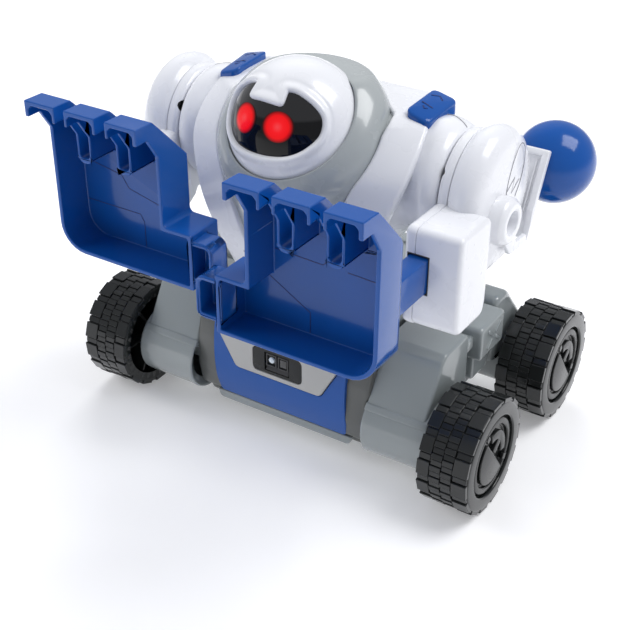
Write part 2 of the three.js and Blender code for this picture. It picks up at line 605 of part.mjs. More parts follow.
function addArm(tag, flip, reach, lift) {
  const pivot = group(root, `arm_${tag}`);
  pivot.position.set(0, shoulder.y, shoulder.z);
  pivot.rotation.x = -THREE.MathUtils.degToRad(lift);
  const g = group(pivot, `arm_${tag}_parts`);
  g.position.set(0, -shoulder.y, -shoulder.z);
  put(g, `arm_inner_${tag}`, armInner(), white(), flip);
  put(g, `arm_outer_${tag}`, armOuter(), white(), flip);
  put(g, `shoulder_shaft_${tag}`, shoulderShaft(), grey(), flip);
  put(g, `arm_screw_${tag}`, armScrew(), steel(), flip);
  put(g, `elbow_boss_${tag}`, bossSolid(), white(), flip);
  put(g, `punch_bar_${tag}`, barSolid(reach), blue(), flip);
  put(g, `hand_${tag}`, handSolid(reach), blue(), flip);
  if (tag === 'left') {
    put(g, 'ball_paddle', paddleSolid(), white());
    put(g, 'paddle_ball', ballSolid(), blue());
  }
}

addBase();
addWheels();
addTorso();
addHead();
addArm('left', false, punch.out, punch.lift);
addArm('right', true, 0, 0);

export default root;
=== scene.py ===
import math

import bmesh
import bpy
import numpy as np
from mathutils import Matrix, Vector


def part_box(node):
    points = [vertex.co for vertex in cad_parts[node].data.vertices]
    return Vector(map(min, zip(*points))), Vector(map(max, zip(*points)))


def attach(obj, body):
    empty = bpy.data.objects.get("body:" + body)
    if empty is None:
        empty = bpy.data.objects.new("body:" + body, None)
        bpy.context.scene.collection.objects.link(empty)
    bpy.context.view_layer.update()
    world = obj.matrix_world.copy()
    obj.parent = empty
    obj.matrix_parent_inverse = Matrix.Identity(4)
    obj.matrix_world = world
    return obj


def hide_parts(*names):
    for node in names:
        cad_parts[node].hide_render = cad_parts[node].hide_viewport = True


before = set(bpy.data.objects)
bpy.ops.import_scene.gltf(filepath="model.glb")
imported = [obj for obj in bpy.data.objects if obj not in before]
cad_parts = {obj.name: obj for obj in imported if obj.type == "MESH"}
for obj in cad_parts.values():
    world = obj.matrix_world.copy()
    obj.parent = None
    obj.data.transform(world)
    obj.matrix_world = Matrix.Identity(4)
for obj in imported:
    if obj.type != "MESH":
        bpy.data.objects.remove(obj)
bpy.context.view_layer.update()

# Shapes are drawn in millimetres with the front axle at Y = 0, and moved to the row frame at the end.
low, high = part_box("wheel_front_left")
AXLE_Y = (low.y + high.y) / 2
AXLE_Z = 30.0                    # height of the axles
REAR_Y = 91.0                    # rear axle behind the front one
TYRE_WIDTH = 26.8
TUBE_RADIUS = 18.7               # axle tubes beside the chassis
SHOULDER = (34.5, 149.0)         # axis of both arms, as (y, z)
SHOULDER_RADIUS = 27.6
ELBOW = (0, 25.3, 140.6)         # axis of the round boss on each arm
ARM_SCREW = (0, 14, 162)
LIFT = 0.8                       # degrees the left arm is raised
REACH = 24.0                     # how far the left hand stands out
HEAD = np.array([0, 6.9, 170.7])
TILT = math.radians(47)          # how far the collar leans forward
HEAD_AXIS = np.array([0, -math.cos(TILT), math.sin(TILT)])
HELMET_RADIUS = 32.8
VISOR_RADIUS = 31.1
FACE_TURN = -3.6                 # degrees the face looks towards the robot's right
EYE_RADIUS = 7.3
BALL_RADIUS = 20.4
ALONG_X = (1, 0, 0)


# ---------- shapes ----------
class Shape:
    """Vertices in millimetres and the faces between them."""

    def __init__(self, verts=(), faces=()):
        self.verts = np.asarray(verts, float).reshape(-1, 3)
        self.faces = [tuple(int(i) for i in f) for f in faces]

    def add(self, *others):
        for other in others:
            n = len(self.verts)
            self.verts = np.vstack([self.verts, other.verts])
            self.faces += [tuple(i + n for i in f) for f in other.faces]
        return self

    def moved(self, x=0, y=0, z=0):
        return Shape(self.verts + np.array([x, y, z]), self.faces)

    def mirrored(self):
        return Shape(self.verts * np.array([-1, 1, 1]), [f[::-1] for f in self.faces])

    def turned(self, degrees, about):
        """Turned about an axis along X through (y, z)."""
        c, s = math.cos(math.radians(degrees)), math.sin(math.radians(degrees))
        v = self.verts.copy()
        y, z = v[:, 1] - about[0], v[:, 2] - about[1]
        v[:, 1] = about[0] + y * c - z * s
        v[:, 2] = about[1] + y * s + z * c
        return Shape(v, self.faces)

    def warped(self, rule):
        return Shape(np.array([rule(*p) for p in self.verts]), self.faces)


def both(shape):
    """The shape and its mirror image in X = 0."""
    return Shape(shape.verts, shape.faces).add(shape.mirrored())


def lift(axis, outline, level):
    """An outline of (u, v) points as points in space, at a level along the axis."""
    u, v = np.asarray(outline, float).T
    w = np.full(len(u), float(level))
    return np.stack({"x": (w, u, v), "y": (u, w, v), "z": (u, v, w)}[axis], axis=1)


def loft(rings, first=True, last=True, loop=True):
    """Faces between successive rings of points; first and last close the ends, loop closes each ring."""
    k, n = len(rings[0]), len(rings)
    faces = []
    for r in range(n - 1):
        for i in range(k if loop else k - 1):
            j = (i + 1) % k
            faces.append((r * k + i, r * k + j, (r + 1) * k + j, (r + 1) * k + i))
    if first:
        faces.append(tuple(range(k))[::-1])
    if last:
        faces.append(tuple(range((n - 1) * k, n * k)))
    return Shape(np.vstack(rings), faces)


def fillet(points, radius, n=5):
    """Closed polygon with rounded corners; radius is one number, or one for each corner."""
    p = [np.array(q, float) for q in points]
    radii = [radius] * len(p) if np.isscalar(radius) else radius
    out = []
    for i, q in enumerate(p):
        a, b = p[i - 1] - q, p[(i + 1) % len(p)] - q
        la, lb = np.linalg.norm(a), np.linalg.norm(b)
        a, b = a / la, b / lb
        half = math.acos(max(-1, min(1, float(a @ b)))) / 2
        if radii[i] <= 0 or half > 1.56:
            out.append(q)
            continue
        t = min(radii[i] / math.tan(half), 0.49 * la, 0.49 * lb)
        r = t * math.tan(half)
        middle = q + (a + b) / np.linalg.norm(a + b) * r / math.sin(half)
        s, e = q + a * t - middle, q + b * t - middle
        turn = math.atan2(s[0] * e[1] - s[1] * e[0], float(s @ e))
        for k in range(n + 1):
            c, d = math.cos(turn * k / n), math.sin(turn * k / n)
            out.append(middle + np.array([s[0] * c - s[1] * d, s[0] * d + s[1] * c]))
    return np.array(out)


def grown(outline, distance):
    """The outline moved outwards, keeping its number of points."""
    p = np.asarray(outline, float)
    x, y = p.T
    if np.sum(x * np.roll(y, -1) - y * np.roll(x, -1)) < 0:
        distance = -distance
    a = p - np.roll(p, 1, axis=0)
    b = np.roll(p, -1, axis=0) - p
    a /= np.linalg.norm(a, axis=1)[:, None] + 1e-12
    b /= np.linalg.norm(b, axis=1)[:, None] + 1e-12
    na = np.stack([a[:, 1], -a[:, 0]], axis=1)
    nb = np.stack([b[:, 1], -b[:, 0]], axis=1)
    m = na + nb
    m /= np.maximum(np.sum(m * m, axis=1)[:, None] / 2, 0.35)
    return p + m * distance


def pillow(axis, outline, profile):
    """Rings of the outline: profile holds (how far it has grown, level along the axis)."""
    return loft([lift(axis, grown(outline, g), level) for g, level in profile])


def soft(axis, outline, a, b, ra=1.0, rb=None, n=3):
    """A prism whose two end edges are rounded by ra and rb."""
    rb = ra if rb is None else rb
    start = [(-ra * (1 - math.sin(t)), a + ra * (1 - math.cos(t)))
             for t in np.linspace(0, math.pi / 2, n + 1)]
    end = [(-rb * (1 - math.cos(t)), b - rb * (1 - math.sin(t)))
           for t in np.linspace(0, math.pi / 2, n + 1)]
    return pillow(axis, outline, start + end)


def prism(axis, outline, a, b):
    return loft([lift(axis, outline, a), lift(axis, outline, b)])


def rect(u0, u1, v0, v1):
    return [(u0, v0), (u1, v0), (u1, v1), (u0, v1)]


def block(x0, x1, y0, y1, z0, z1):
    return prism("z", rect(x0, x1, y0, y1), z0, z1)


def circle(u, v, r, n=48, start=0.0):
    t = start + np.linspace(0, 2 * math.pi, n, endpoint=False)
    return np.stack([u + r * np.cos(t), v + r * np.sin(t)], axis=1)


def arc(u, v, r, a, b, n):
    """Points on a circle between two angles (degrees)."""
    return [(u + r * math.cos(t), v + r * math.sin(t)) for t in np.radians(np.linspace(a, b, n))]


def basis(axis):
    """Two unit vectors square to the axis, and the axis as a unit vector."""
    w = np.array(axis, float) / np.linalg.norm(axis)
    e1 = np.cross([0, 1, 0] if abs(w[1]) < 0.9 else [0, 0, 1], w)
    e1 /= np.linalg.norm(e1)
    return e1, np.cross(w, e1), w


def lathe(profile, origin, axis, n=64):
    """Surface of revolution: profile holds (radius, distance along the axis)."""
    e1, e2, w = basis(axis)
    t = np.linspace(0, 2 * math.pi, n, endpoint=False)[:, None]
    ring = np.cos(t) * e1 + np.sin(t) * e2
    return loft([np.array(origin) + r * ring + s * w for r, s in profile], first=False, last=False)


def ribbon(points, normal, width=0.5, proud=0.06):
    """A thin line laid on a surface."""
    p = np.asarray(points, float)
    normal = np.asarray(normal, float)
    along = np.gradient(p, axis=0)
    side = np.cross(along, normal)
    side /= np.linalg.norm(side, axis=1)[:, None] + 1e-12
    rows = [p - side * width / 2, p - side * width / 2 + normal * proud,
            p + side * width / 2 + normal * proud, p + side * width / 2]
    return loft(rows, first=False, last=False, loop=False)


def spline_at(p, i, t):
    """Catmull-Rom curve through the rows p, a share t of the way from row i to the next."""
    a, b, c, d = [p[min(max(i + k, 0), len(p) - 1)] for k in (-1, 0, 1, 2)]
    bend, twist = 2 * a - 5 * b + 4 * c - d, 3 * b - a - 3 * c + d
    return 0.5 * (2 * b + (c - a) * t + bend * t * t + twist * t ** 3)


def smooth_curve(points, n=8):
    """Curve through the points, with n steps between each two."""
    p = [np.array(q, float) for q in points]
    out = [spline_at(p, i, t) for i in range(len(p) - 1) for t in np.arange(n) / n]
    return np.array(out + [p[-1]])


def raw_object(shape, name="scratch"):
    mesh = bpy.data.meshes.new(name)
    mesh.from_pydata([tuple(v) for v in shape.verts], [], shape.faces)
    bm = bmesh.new()
    bm.from_mesh(mesh)
    bmesh.ops.remove_doubles(bm, verts=bm.verts, dist=1e-4)
    bmesh.ops.recalc_face_normals(bm, faces=bm.faces)
    bm.to_mesh(mesh)
    bm.free()
    obj = bpy.data.objects.new(name, mesh)
    bpy.context.scene.collection.objects.link(obj)
    return obj


def shape_of(obj):
    mesh = obj.evaluated_get(bpy.context.evaluated_depsgraph_get()).data
    return Shape([v.co[:] for v in mesh.vertices], [p.vertices[:] for p in mesh.polygons])


def boolean(first, second, how):
    """Exact boolean of two closed shapes."""
    a, b = raw_object(first), raw_object(second)
    step = a.modifiers.new("step", "BOOLEAN")
    step.object = b
    step.operation = how
    step.solver = "EXACT"
    result = shape_of(a)
    for obj in (a, b):
        bpy.data.objects.remove(obj)
    return result


def cut(shape, *tools):
    for tool in tools:
        shape = boolean(shape, tool, "DIFFERENCE")
    return shape


def join(shape, *others):
    for other in others:
        shape = boolean(shape, other, "UNION")
    return shape


def common(a, b):
    return boolean(a, b, "INTERSECT")


def keep_part(P, N, D, lip):
    """The part of a closed band of points P where D is not negative, bordered on D = 0, with a rolled lip.
    N holds the normals, and lip holds (how far past the border, how deep)."""
    n, m = D.shape
    best = np.full(D.shape, np.inf)
    target, normal = P.copy(), N.copy()
    for di, dj in ((0, 1), (0, -1), (1, 0), (-1, 0)):
        i, j = np.indices(D.shape)
        i2, j2 = i + di, j + dj
        valid = (i2 >= 0) & (i2 < n)
        i2, j2 = np.clip(i2, 0, n - 1), j2 % m
        across = valid & (D * D[i2, j2] < 0)
        t = np.where(across, D / np.where(across, D - D[i2, j2], 1), np.inf)
        ok = across & (t <= 0.5) & (t < best)
        target[ok] = P[ok] + t[ok, None] * (P[i2, j2] - P)[ok]
        normal[ok] = N[ok] + t[ok, None] * (N[i2, j2] - N)[ok]
        best[ok] = t[ok]
    D = np.where(np.isfinite(best), 0.0, D)
    normal /= np.linalg.norm(normal, axis=2)[..., None]
    faces = []
    for i in range(n - 1):
        for j in range(m):
            q = [(i, j), (i, (j + 1) % m), (i + 1, (j + 1) % m), (i + 1, j)]
            d = [D[c] for c in q]
            ids = [a * m + b for a, b in q]
            if min(d) >= 0:
                faces.append(tuple(ids))
            elif d[0] == 0 and d[2] == 0 and max(d[1], d[3]) > 0:
                faces.append((ids[0], ids[1], ids[2]) if d[1] > 0 else (ids[0], ids[2], ids[3]))
            elif d[1] == 0 and d[3] == 0 and max(d[0], d[2]) > 0:
                faces.append((ids[0], ids[1], ids[3]) if d[0] > 0 else (ids[1], ids[2], ids[3]))
    flat, flat_n, flat_d = target.reshape(-1, 3), normal.reshape(-1, 3), D.ravel()
    edges = {}
    for f in faces:
        for a, b in zip(f, f[1:] + f[:1]):
            if flat_d[a] == 0 and flat_d[b] == 0:
                if (b, a) in edges:
                    del edges[(b, a)]
                else:
                    edges[(a, b)] = True
    follow = {a: b for a, b in edges}
    some = np.array([f[:3] for f in faces])
    facing = np.cross(flat[some[:, 1]] - flat[some[:, 0]], flat[some[:, 2]] - flat[some[:, 0]])
    turn = 1 if np.sum(facing * flat_n[some[:, 0]]) > 0 else -1
    shape = Shape(flat, faces)
    while follow:
        start = next(iter(follow))
        ring, at = [start], follow.pop(start)
        while at in follow and at != start:
            ring.append(at)
            at = follow.pop(at)
        if len(ring) < 8:
            continue
        p, nn = flat[ring], flat_n[ring]
        closed = at == start
        tangent = np.roll(p, -2, axis=0) - np.roll(p, 2, axis=0) if closed else np.gradient(p, axis=0)
        out = np.cross(tangent, nn) * turn
        out /= np.linalg.norm(out, axis=1)[:, None]
        for _ in range(4):
            if closed:
                out = out + np.roll(out, 1, axis=0) + np.roll(out, -1, axis=0)
            else:
                out[1:-1] = out[:-2] + out[1:-1] + out[2:]
            out /= np.linalg.norm(out, axis=1)[:, None]
        rows = [p] + [p + a * out - b * nn for a, b in lip]
        shape.add(loft([r[::-1] for r in rows], first=False, last=False, loop=closed))
    used = sorted({i for f in shape.faces for i in f})
    index = {v: k for k, v in enumerate(used)}
    return Shape(shape.verts[used], [tuple(index[i] for i in f) for f in shape.faces])


def normals_of(P):
    """Unit normals of a grid of points that closes on itself along its rows."""
    du = np.gradient(P, axis=0)
    dv = np.roll(P, -1, axis=1) - np.roll(P, 1, axis=1)
    n = np.cross(dv, du)
    return n / (np.linalg.norm(n, axis=2)[..., None] + 1e-12)


# ---------- materials ----------
def plastic(name, color, rough, coat=0.6, grain=0.015, edge_highlight_and_wear=0.12, tint=0.04, shine=0.5, glow=0.0):
    """Moulded plastic: slight colour drift, uneven gloss, fine orange peel; paler edges are wear and
    painted highlight.
    """
    mat = bpy.data.materials.new(name)
    mat.use_nodes = True
    nodes, links = mat.node_tree.nodes, mat.node_tree.links
    shader = nodes["Principled BSDF"]
    place = nodes.new("ShaderNodeTexCoord")

    def noise(scale, detail=3.0):
        tex = nodes.new("ShaderNodeTexNoise")
        tex.inputs["Scale"].default_value = scale
        tex.inputs["Detail"].default_value = detail
        links.new(place.outputs["Object"], tex.inputs["Vector"])
        return tex.outputs["Fac"]

    def spread(value, low, high, a=0.35, b=0.65):
        scale = nodes.new("ShaderNodeMapRange")
        for key, number in (("From Min", a), ("From Max", b), ("To Min", low), ("To Max", high)):
            scale.inputs[key].default_value = number
        links.new(value, scale.inputs["Value"])
        return scale.outputs["Result"]

    def blend(factor, a, b):
        mix = nodes.new("ShaderNodeMix")
        mix.data_type = "RGBA"
        links.new(factor, mix.inputs["Factor"])
        for socket, value in ((mix.inputs[6], a), (mix.inputs[7], b)):
            if isinstance(value, bpy.types.NodeSocket):
                links.new(value, socket)
            else:
                socket.default_value = (*value, 1)
        return mix.outputs[2]

    darker = [c * (1 - tint) for c in color]
    lighter = [min(1, c * (1 + tint) + 0.01 * tint) for c in color]
    body = blend(spread(noise(28), 0, 1, 0.25, 0.75), darker, lighter)
    # Painted highlight and wear: convex edges (high pointiness) are mixed towards a paler colour.
    edge = nodes.new("ShaderNodeNewGeometry")
    pale = [c + (1 - c) * edge_highlight_and_wear for c in color]
    body = blend(spread(edge.outputs["Pointiness"], 0, 1, 0.53, 0.62), body, pale)
    links.new(body, shader.inputs["Base Color"])
    links.new(spread(noise(90, 2), rough * 0.9, rough * 1.12, 0.25, 0.75), shader.inputs["Roughness"])
    shader.inputs["Specular IOR Level"].default_value = shine
    if glow:
        links.new(body, shader.inputs["Emission Color"])
        shader.inputs["Emission Strength"].default_value = glow
    shader.inputs["Coat Weight"].default_value = coat
    shader.inputs["Coat Roughness"].default_value = 0.06
    bump = nodes.new("ShaderNodeBump")
    bump.inputs["Strength"].default_value = grain * 4
    bump.inputs["Distance"].default_value = 0.0002
    links.new(noise(900, 2), bump.inputs["Height"])
    links.new(bump.outputs["Normal"], shader.inputs["Normal"])
    return mat


def metal(name, color, rough):
    mat = plastic(name, color, rough, coat=0, grain=0.01, edge_highlight_and_wear=0.2)
    mat.node_tree.nodes["Principled BSDF"].inputs["Metallic"].default_value = 1.0
    return mat


BLUE = plastic("blue_plastic", (0.004, 0.078, 0.345), 0.18, coat=0.3, grain=0.003, edge_highlight_and_wear=0.02, tint=0.03,
               shine=0.25)
WHITE = plastic("white_plastic", (0.83, 0.84, 0.875), 0.28, coat=0.5, grain=0.004, edge_highlight_and_wear=0.25, tint=0.01)
GREY = plastic("grey_plastic", (0.265, 0.295, 0.30), 0.24, coat=0.7, grain=0.004, edge_highlight_and_wear=0.1, tint=0.02)
DARK_GREY = plastic("dark_grey_plastic", (0.10, 0.105, 0.10), 0.4, coat=0.25, edge_highlight_and_wear=0.08)
PALE_GREY = plastic("pale_grey_plastic", (0.39, 0.42, 0.425), 0.26, coat=0.6, grain=0.004, edge_highlight_and_wear=0.1)
PLATE = plastic("plate_plastic", (0.42, 0.42, 0.41), 0.34, coat=0.3, grain=0.008, edge_highlight_and_wear=0.12)
BLACK = plastic("black_plastic", (0.006, 0.0075, 0.0075), 0.16, coat=0.2, grain=0.003, edge_highlight_and_wear=0.02,
                shine=0.35)
SOFT_BLACK = plastic("satin_black_plastic", (0.006, 0.007, 0.007), 0.26, coat=0.1, grain=0.004, edge_highlight_and_wear=0.03,
                     shine=0.35)
RECEIVER = plastic("receiver_plastic", (0.004, 0.004, 0.005), 0.08, coat=1.0, grain=0.002, edge_highlight_and_wear=0.0)
VISOR = plastic("visor_plastic", (0.003, 0.003, 0.0035), 0.06, coat=0.0, grain=0.001, edge_highlight_and_wear=0.0, shine=0.3)


def clear_above(mat, level, soft_edge=0.0006):
    """Glossier above a height (metres): the tinted visor is clearer near its top."""
    nodes, links = mat.node_tree.nodes, mat.node_tree.links
    place = nodes.new("ShaderNodeTexCoord")
    split = nodes.new("ShaderNodeSeparateXYZ")
    links.new(place.outputs["Object"], split.inputs["Vector"])
    scale = nodes.new("ShaderNodeMapRange")
    scale.inputs["From Min"].default_value = level - soft_edge
    scale.inputs["From Max"].default_value = level + soft_edge
    links.new(split.outputs["Z"], scale.inputs["Value"])
    links.new(scale.outputs["Result"], nodes["Principled BSDF"].inputs["Coat Weight"])


clear_above(VISOR, level=0.1845)
STEEL = metal("zinc_steel", (0.62, 0.63, 0.65), 0.32)
LINE_BLUE = plastic("blue_groove", (0.004, 0.02, 0.13), 0.5, coat=0, edge_highlight_and_wear=0)
LINE_GREY = plastic("grey_groove", (0.22, 0.22, 0.24), 0.6, coat=0, edge_highlight_and_wear=0)
LINE_DARK = plastic("dark_groove", (0.05, 0.05, 0.052), 0.6, coat=0, edge_highlight_and_wear=0)
CLEAR = plastic("lamp_clear", (0.72, 0.80, 0.88), 0.08, coat=1.0, grain=0.002, edge_highlight_and_wear=0)
BOARD = plastic("circuit_green", (0.015, 0.12, 0.05), 0.45, coat=0.3)
WRAP = plastic("cell_wrap", (0.03, 0.035, 0.045), 0.3, coat=0.6)
NATURAL = plastic("natural_plastic", (0.72, 0.70, 0.63), 0.45, coat=0.1)


def eye_glow():
    """Red lens lit from behind: a small pale centre and a rim that fades to dark."""
    mat = bpy.data.materials.new("red_lens")
    mat.use_nodes = True
    nodes, links = mat.node_tree.nodes, mat.node_tree.links
    shader = nodes["Principled BSDF"]
    radius = nodes.new("ShaderNodeAttribute")
    radius.attribute_name = "radius"
    for socket, stops in (
        ("Emission Color", ((0, (0.86, 0.05, 0.06)), (0.35, (0.88, 0.006, 0.012)),
                            (0.7, (0.82, 0.001, 0.004)), (0.84, (0.45, 0, 0.002)), (0.98, (0.02, 0, 0)))),
        ("Base Color", ((0, (0.05, 0.004, 0.004)), (1, (0.01, 0.002, 0.002)))),
    ):
        ramp = nodes.new("ShaderNodeValToRGB").color_ramp
        ramp.elements[0].color = (*stops[0][1], 1)
        ramp.elements[1].position = stops[-1][0]
        ramp.elements[1].color = (*stops[-1][1], 1)
        for position, color in stops[1:-1]:
            ramp.elements.new(position).color = (*color, 1)
        links.new(radius.outputs["Fac"], nodes[-1].inputs["Fac"])
        links.new(nodes[-1].outputs["Color"], shader.inputs[socket])
    noise = nodes.new("ShaderNodeTexNoise")
    noise.inputs["Scale"].default_value = 600
    rough = nodes.new("ShaderNodeMapRange")
    rough.inputs["To Min"].default_value = 0.12
    rough.inputs["To Max"].default_value = 0.2
    links.new(noise.outputs["Fac"], rough.inputs["Value"])
    links.new(rough.outputs["Result"], shader.inputs["Roughness"])
    shader.inputs["Emission Strength"].default_value = 1.0
    shader.inputs["Specular IOR Level"].default_value = 0.25
    return mat


EYE = eye_glow()


def make(name, shape, material, body, replaces=(), bevel=0.0, segments=2, sharp=34):
    """One finished piece on a body: millimetres become metres in the row frame."""
    obj = raw_object(shape, name)
    for v in obj.data.vertices:
        v.co = (v.co.x * 0.001, v.co.y * 0.001 + AXLE_Y, v.co.z * 0.001)
    obj.data.materials.append(material)
    obj.data.shade_smooth()
    if bevel:
        mod = obj.modifiers.new("edges", "BEVEL")
        mod.width = bevel * 0.001
        mod.segments = segments
        mod.limit_method = "ANGLE"
        mod.angle_limit = math.radians(30)
        mod.use_clamp_overlap = False
        mod.harden_normals = True
        mod.miter_outer = "MITER_ARC"
    obj.data.set_sharp_from_angle(angle=math.radians(180 if bevel else sharp))
    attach(obj, body)
    if replaces:
        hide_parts(*replaces)
    return obj


# ---------- wheels ----------
def lug(angle, half, x0, x1, inside, outside, slope=0.0):
    """One tread block between two angles (degrees), with a flat top; slope narrows the top."""
    a = [math.radians(angle - half), math.radians(angle + half)]
    b = [math.radians(angle - half + slope), math.radians(angle + half - slope)]
    base = [(inside * math.cos(t), inside * math.sin(t)) for t in a]
    top = [(outside * math.cos(t), outside * math.sin(t)) for t in b]
    return prism("x", [base[0], top[0], top[1], base[1]], x0, x1)


def tyre(width):
    """Tyre about the origin with its outer face at x = 0 and its body towards -x."""
    core = [(23.0, -width + 0.6), (27.2, -width), (28.0, -width + 0.8), (28.4, -20.4), (28.4, -8.4),
            (28.5, -8.2), (28.5, -1.2), (27.6, -0.2), (26.6, 0), (21.6, 0), (21.0, -0.5), (20.6, -3.2),
            (3.0, -3.2)]
    shape = lathe(core, (0, 0, 0), ALONG_X, 90)
    well = [(23.0, -width + 0.6), (23.0, -14), (20, -12), (5.4, -12), (5.4, -width + 5), (3, -width + 5)]
    shape.add(lathe(well, (0, 0, 0), ALONG_X, 60))
    for i in range(15):
        at = i * 24 + 90
        shape.add(lug(at, 8.6, -8.15, -0.4, 27, 29.95, 0.6))
        shape.add(lug(at + 12, 3.0, -7.9, -0.7, 27, 29.1, 0.1))
        shape.add(lug(at + 12, 8.4, -width + 0.1, -20.2, 27, 29.7, 0.6))
        shape.add(lug(at, 3.2, -width + 0.5, -20.4, 26.5, 28.9, 0.1))
        for k in range(4):
            shape.add(lug(at + 6 * k, 2.85, -14.0, -8.45, 27, 29.7 - 0.5 * (k % 2), 0.1))
            shape.add(lug(at + 6 * k + 3, 2.85, -19.9, -14.25, 27, 29.7 - 0.5 * ((k + 1) % 2), 0.1))
    for i in range(6):
        shape.add(prism("x", rect(5, 22.8, -0.6, 0.6), -width + 3, -12.2).turned(i * 60, (0, 0)))
    return shape


def hub():
    """Wheel disc about the origin, facing +x: a dish with a raised half, a curved slot and two tabs."""
    disc = [(0, -2.9), (15.6, -2.9), (16.0, -2.6), (16.4, -1.3), (16.9, -0.9), (18.9, -0.9), (19.5, -1.2),
            (20.1, -2.2), (20.1, -3.1), (0, -3.1)]
    shape = lathe(disc, (0, 0, 0), ALONG_X, 72)
    half = [p for p in circle(0, 0, 14.7, 60) if p[1] <= 2.6]
    shape.add(soft("x", fillet(half[::2], 1.2, 3), -3.0, -0.2, 0.05, 0.5))
    slot = arc(0, 0, 13.4, 36, 152, 20) + arc(0, 0, 8.6, 152, 36, 16)
    shape.add(soft("x", slot, -3.0, -0.7, 0.05, 0.5))
    shape.add(soft("x", fillet(rect(-2.2, 2.2, 2.0, 9), 0.6), -3.0, -0.9, 0.05, 0.4))
    tab = soft("x", fillet(rect(13.9, 17.4, -1.5, 1.5), 0.5), -2, -0.5, 0.05, 0.3)
    shape.add(tab.turned(18, (0, 0)), tab.turned(166, (0, 0)))
    return shape.turned(-50, (0, 0))


def wheels():
    for end, y, face in (("front", 0, 115.4), ("rear", REAR_Y, 112.4)):
        for side, sign in (("left", 1), ("right", -1)):
            body = f"wheel_set_{end}_{side}"
            for part, node, shape, material, bevel in (
                ("tyre", "wheel", tyre(TYRE_WIDTH), BLACK, 0.35),
                ("hub", "hub", hub(), SOFT_BLACK, 0),
            ):
                shape = shape.moved(face, y, AXLE_Z)
                shape = shape if sign > 0 else shape.mirrored()
                make(f"{part}_{end}_{side}", shape, material, body, [f"{node}_{end}_{side}"],
                     bevel=bevel)


# ---------- chassis ----------
def axle_tube(y, x0, x1):
    """Tube round an axle with a rolled inner end and a soft outer end."""
    r = TUBE_RADIUS
    ends = [(r - 5, x0 + 2.4), (r - 3.2, x0 + 1.4), (r - 1.6, x0 + 0.3), (r - 0.4, x0),
            (r + 0.15, x0 + 0.5), (r + 0.3, x0 + 1.6), (r, x0 + 3.2), (r, x1 - 1.2), (r - 0.9, x1), (3, x1)]
    return lathe(ends, (0, y, AXLE_Z), ALONG_X, 80)


def chassis():
    pod = soft("x", fillet([(-12.8, 43.6), (3.2, 70.0), (7.0, 72.6), (30.5, 72.6), (30.5, 30), (-6, 30)],
                           [1.5, 7, 4, 3, 1, 1], 6), 51.5, 84, 1.6, 1.6, 4)
    sill = soft("x", fillet([(-15.2, 41.6), (-12.6, 44.9), (-9.5, 44.9), (-9.5, 40)], [0.8, 1.2, 0.5, 0.5],
                            4), 51.3, 85.4, 0.8, 1.2, 2)
    neck = soft("x", fillet(rect(26, 70, 34, 65.4), 3, 4), 48, 79, 1, 2.5)
    vent = soft("x", fillet(rect(36.6, 63.2, 53, 71.8), 2.6, 5), 60, 88, 1, 2)
    foot = soft("x", fillet(rect(40, 58, 38, 54), 2.5, 4), 60, 82.4, 1, 1.8)
    lid = soft("x", fillet(rect(30.6, 66, 60, 67.4), 1.2, 3), 56, 83.4, 0.6, 1.2)
    rear = soft("x", fillet([(66.4, 34), (66.4, 72.6), (80, 72.6), (103.6, 45.4), (103.6, 34)],
                            [1, 4.2, 9, 6, 1], 7), 44, 82, 2, 3.6, 5)
    tubes = axle_tube(0, 51.6, 86.5).add(axle_tube(REAR_Y, 50.2, 83.5))
    side = Shape().add(pod, sill, neck, vent, foot, lid, rear, tubes)
    make("side_pods", both(side), GREY, "base", ["chassis_upper", "chassis_lower"])

    tub = soft("z", fillet(rect(-49.8, 49.8, -5.9, 105.8), 4, 5), 12.2, 72.6, 2, 2.2)
    cheek = soft("x", fillet([(-9.8, 18), (-12.4, 30), (-11.6, 50), (-6.5, 66), (0, 66), (0, 16)],
                             [3, 5, 8, 3, 1, 1], 4), 30, 52.4, 1, 3, 4)
    make("tub", Shape().add(tub, both(cheek)), DARK_GREY, "base")
    strip = soft("y", fillet([(-40, 12), (40, 12), (41.5, 16.8), (-41.5, 16.8)], [2.5, 2.5, 0.6, 0.6], 4),
                 -9.4, -4, 0.6)
    deck = soft("z", fillet(rect(-49.4, 49.4, -5.4, 105.4), 5, 5), 70, 72.75, 0.6, 1.0)
    tray = soft("z", fillet(rect(-46, 46, -2, 102), 4, 5), 12.02, 14, 0.4)
    rib = soft("z", fillet(rect(-38, 38, 94, 103), 2, 4), 70, 74.4, 0.4, 0.8)
    make("deck", Shape().add(strip, deck, tray, rib), GREY, "base")

    strokes = Shape()
    for y, z, turn in ((46.2, 65.7, -40), (54.8, 65.7, 40), (46.2, 59.3, 40), (54.8, 59.3, -40)):
        stroke = soft("x", fillet(rect(y - 3.3, y + 3.3, z - 1.05, z + 1.05), 0.9, 3), 87.4, 88.7, 0.1, 0.5)
        strokes.add(stroke.turned(turn, (y, z)))
    make("vent_ribs", both(strokes), GREY, "base")
    cover = soft("z", fillet(rect(-32.5, 32.5, 50.5, 101.5), 2, 4), 12.0, 14, 0.4)
    for k in range(6):
        cover.add(soft("z", fillet(rect(-12, 12, 88 + k * 1.8, 88.9 + k * 1.8), 0.3, 2), 11.9, 12.6, 0.2))
    make("battery_door", cover, GREY, "base", ["battery_cover"])
    knob = soft("y", fillet(rect(-3.9, -0.1, 56.3, 59.7), 0.6, 3), 100.6, 107.3, 0.1, 0.5)
    for k in range(3):
        knob.add(soft("y", rect(-3.3 + k * 1.1, -2.9 + k * 1.1, 56.5, 59.5), 106, 107.6, 0.1))
    make("switch_knob", knob, SOFT_BLACK, "power_switch_knob", ["power_switch"])


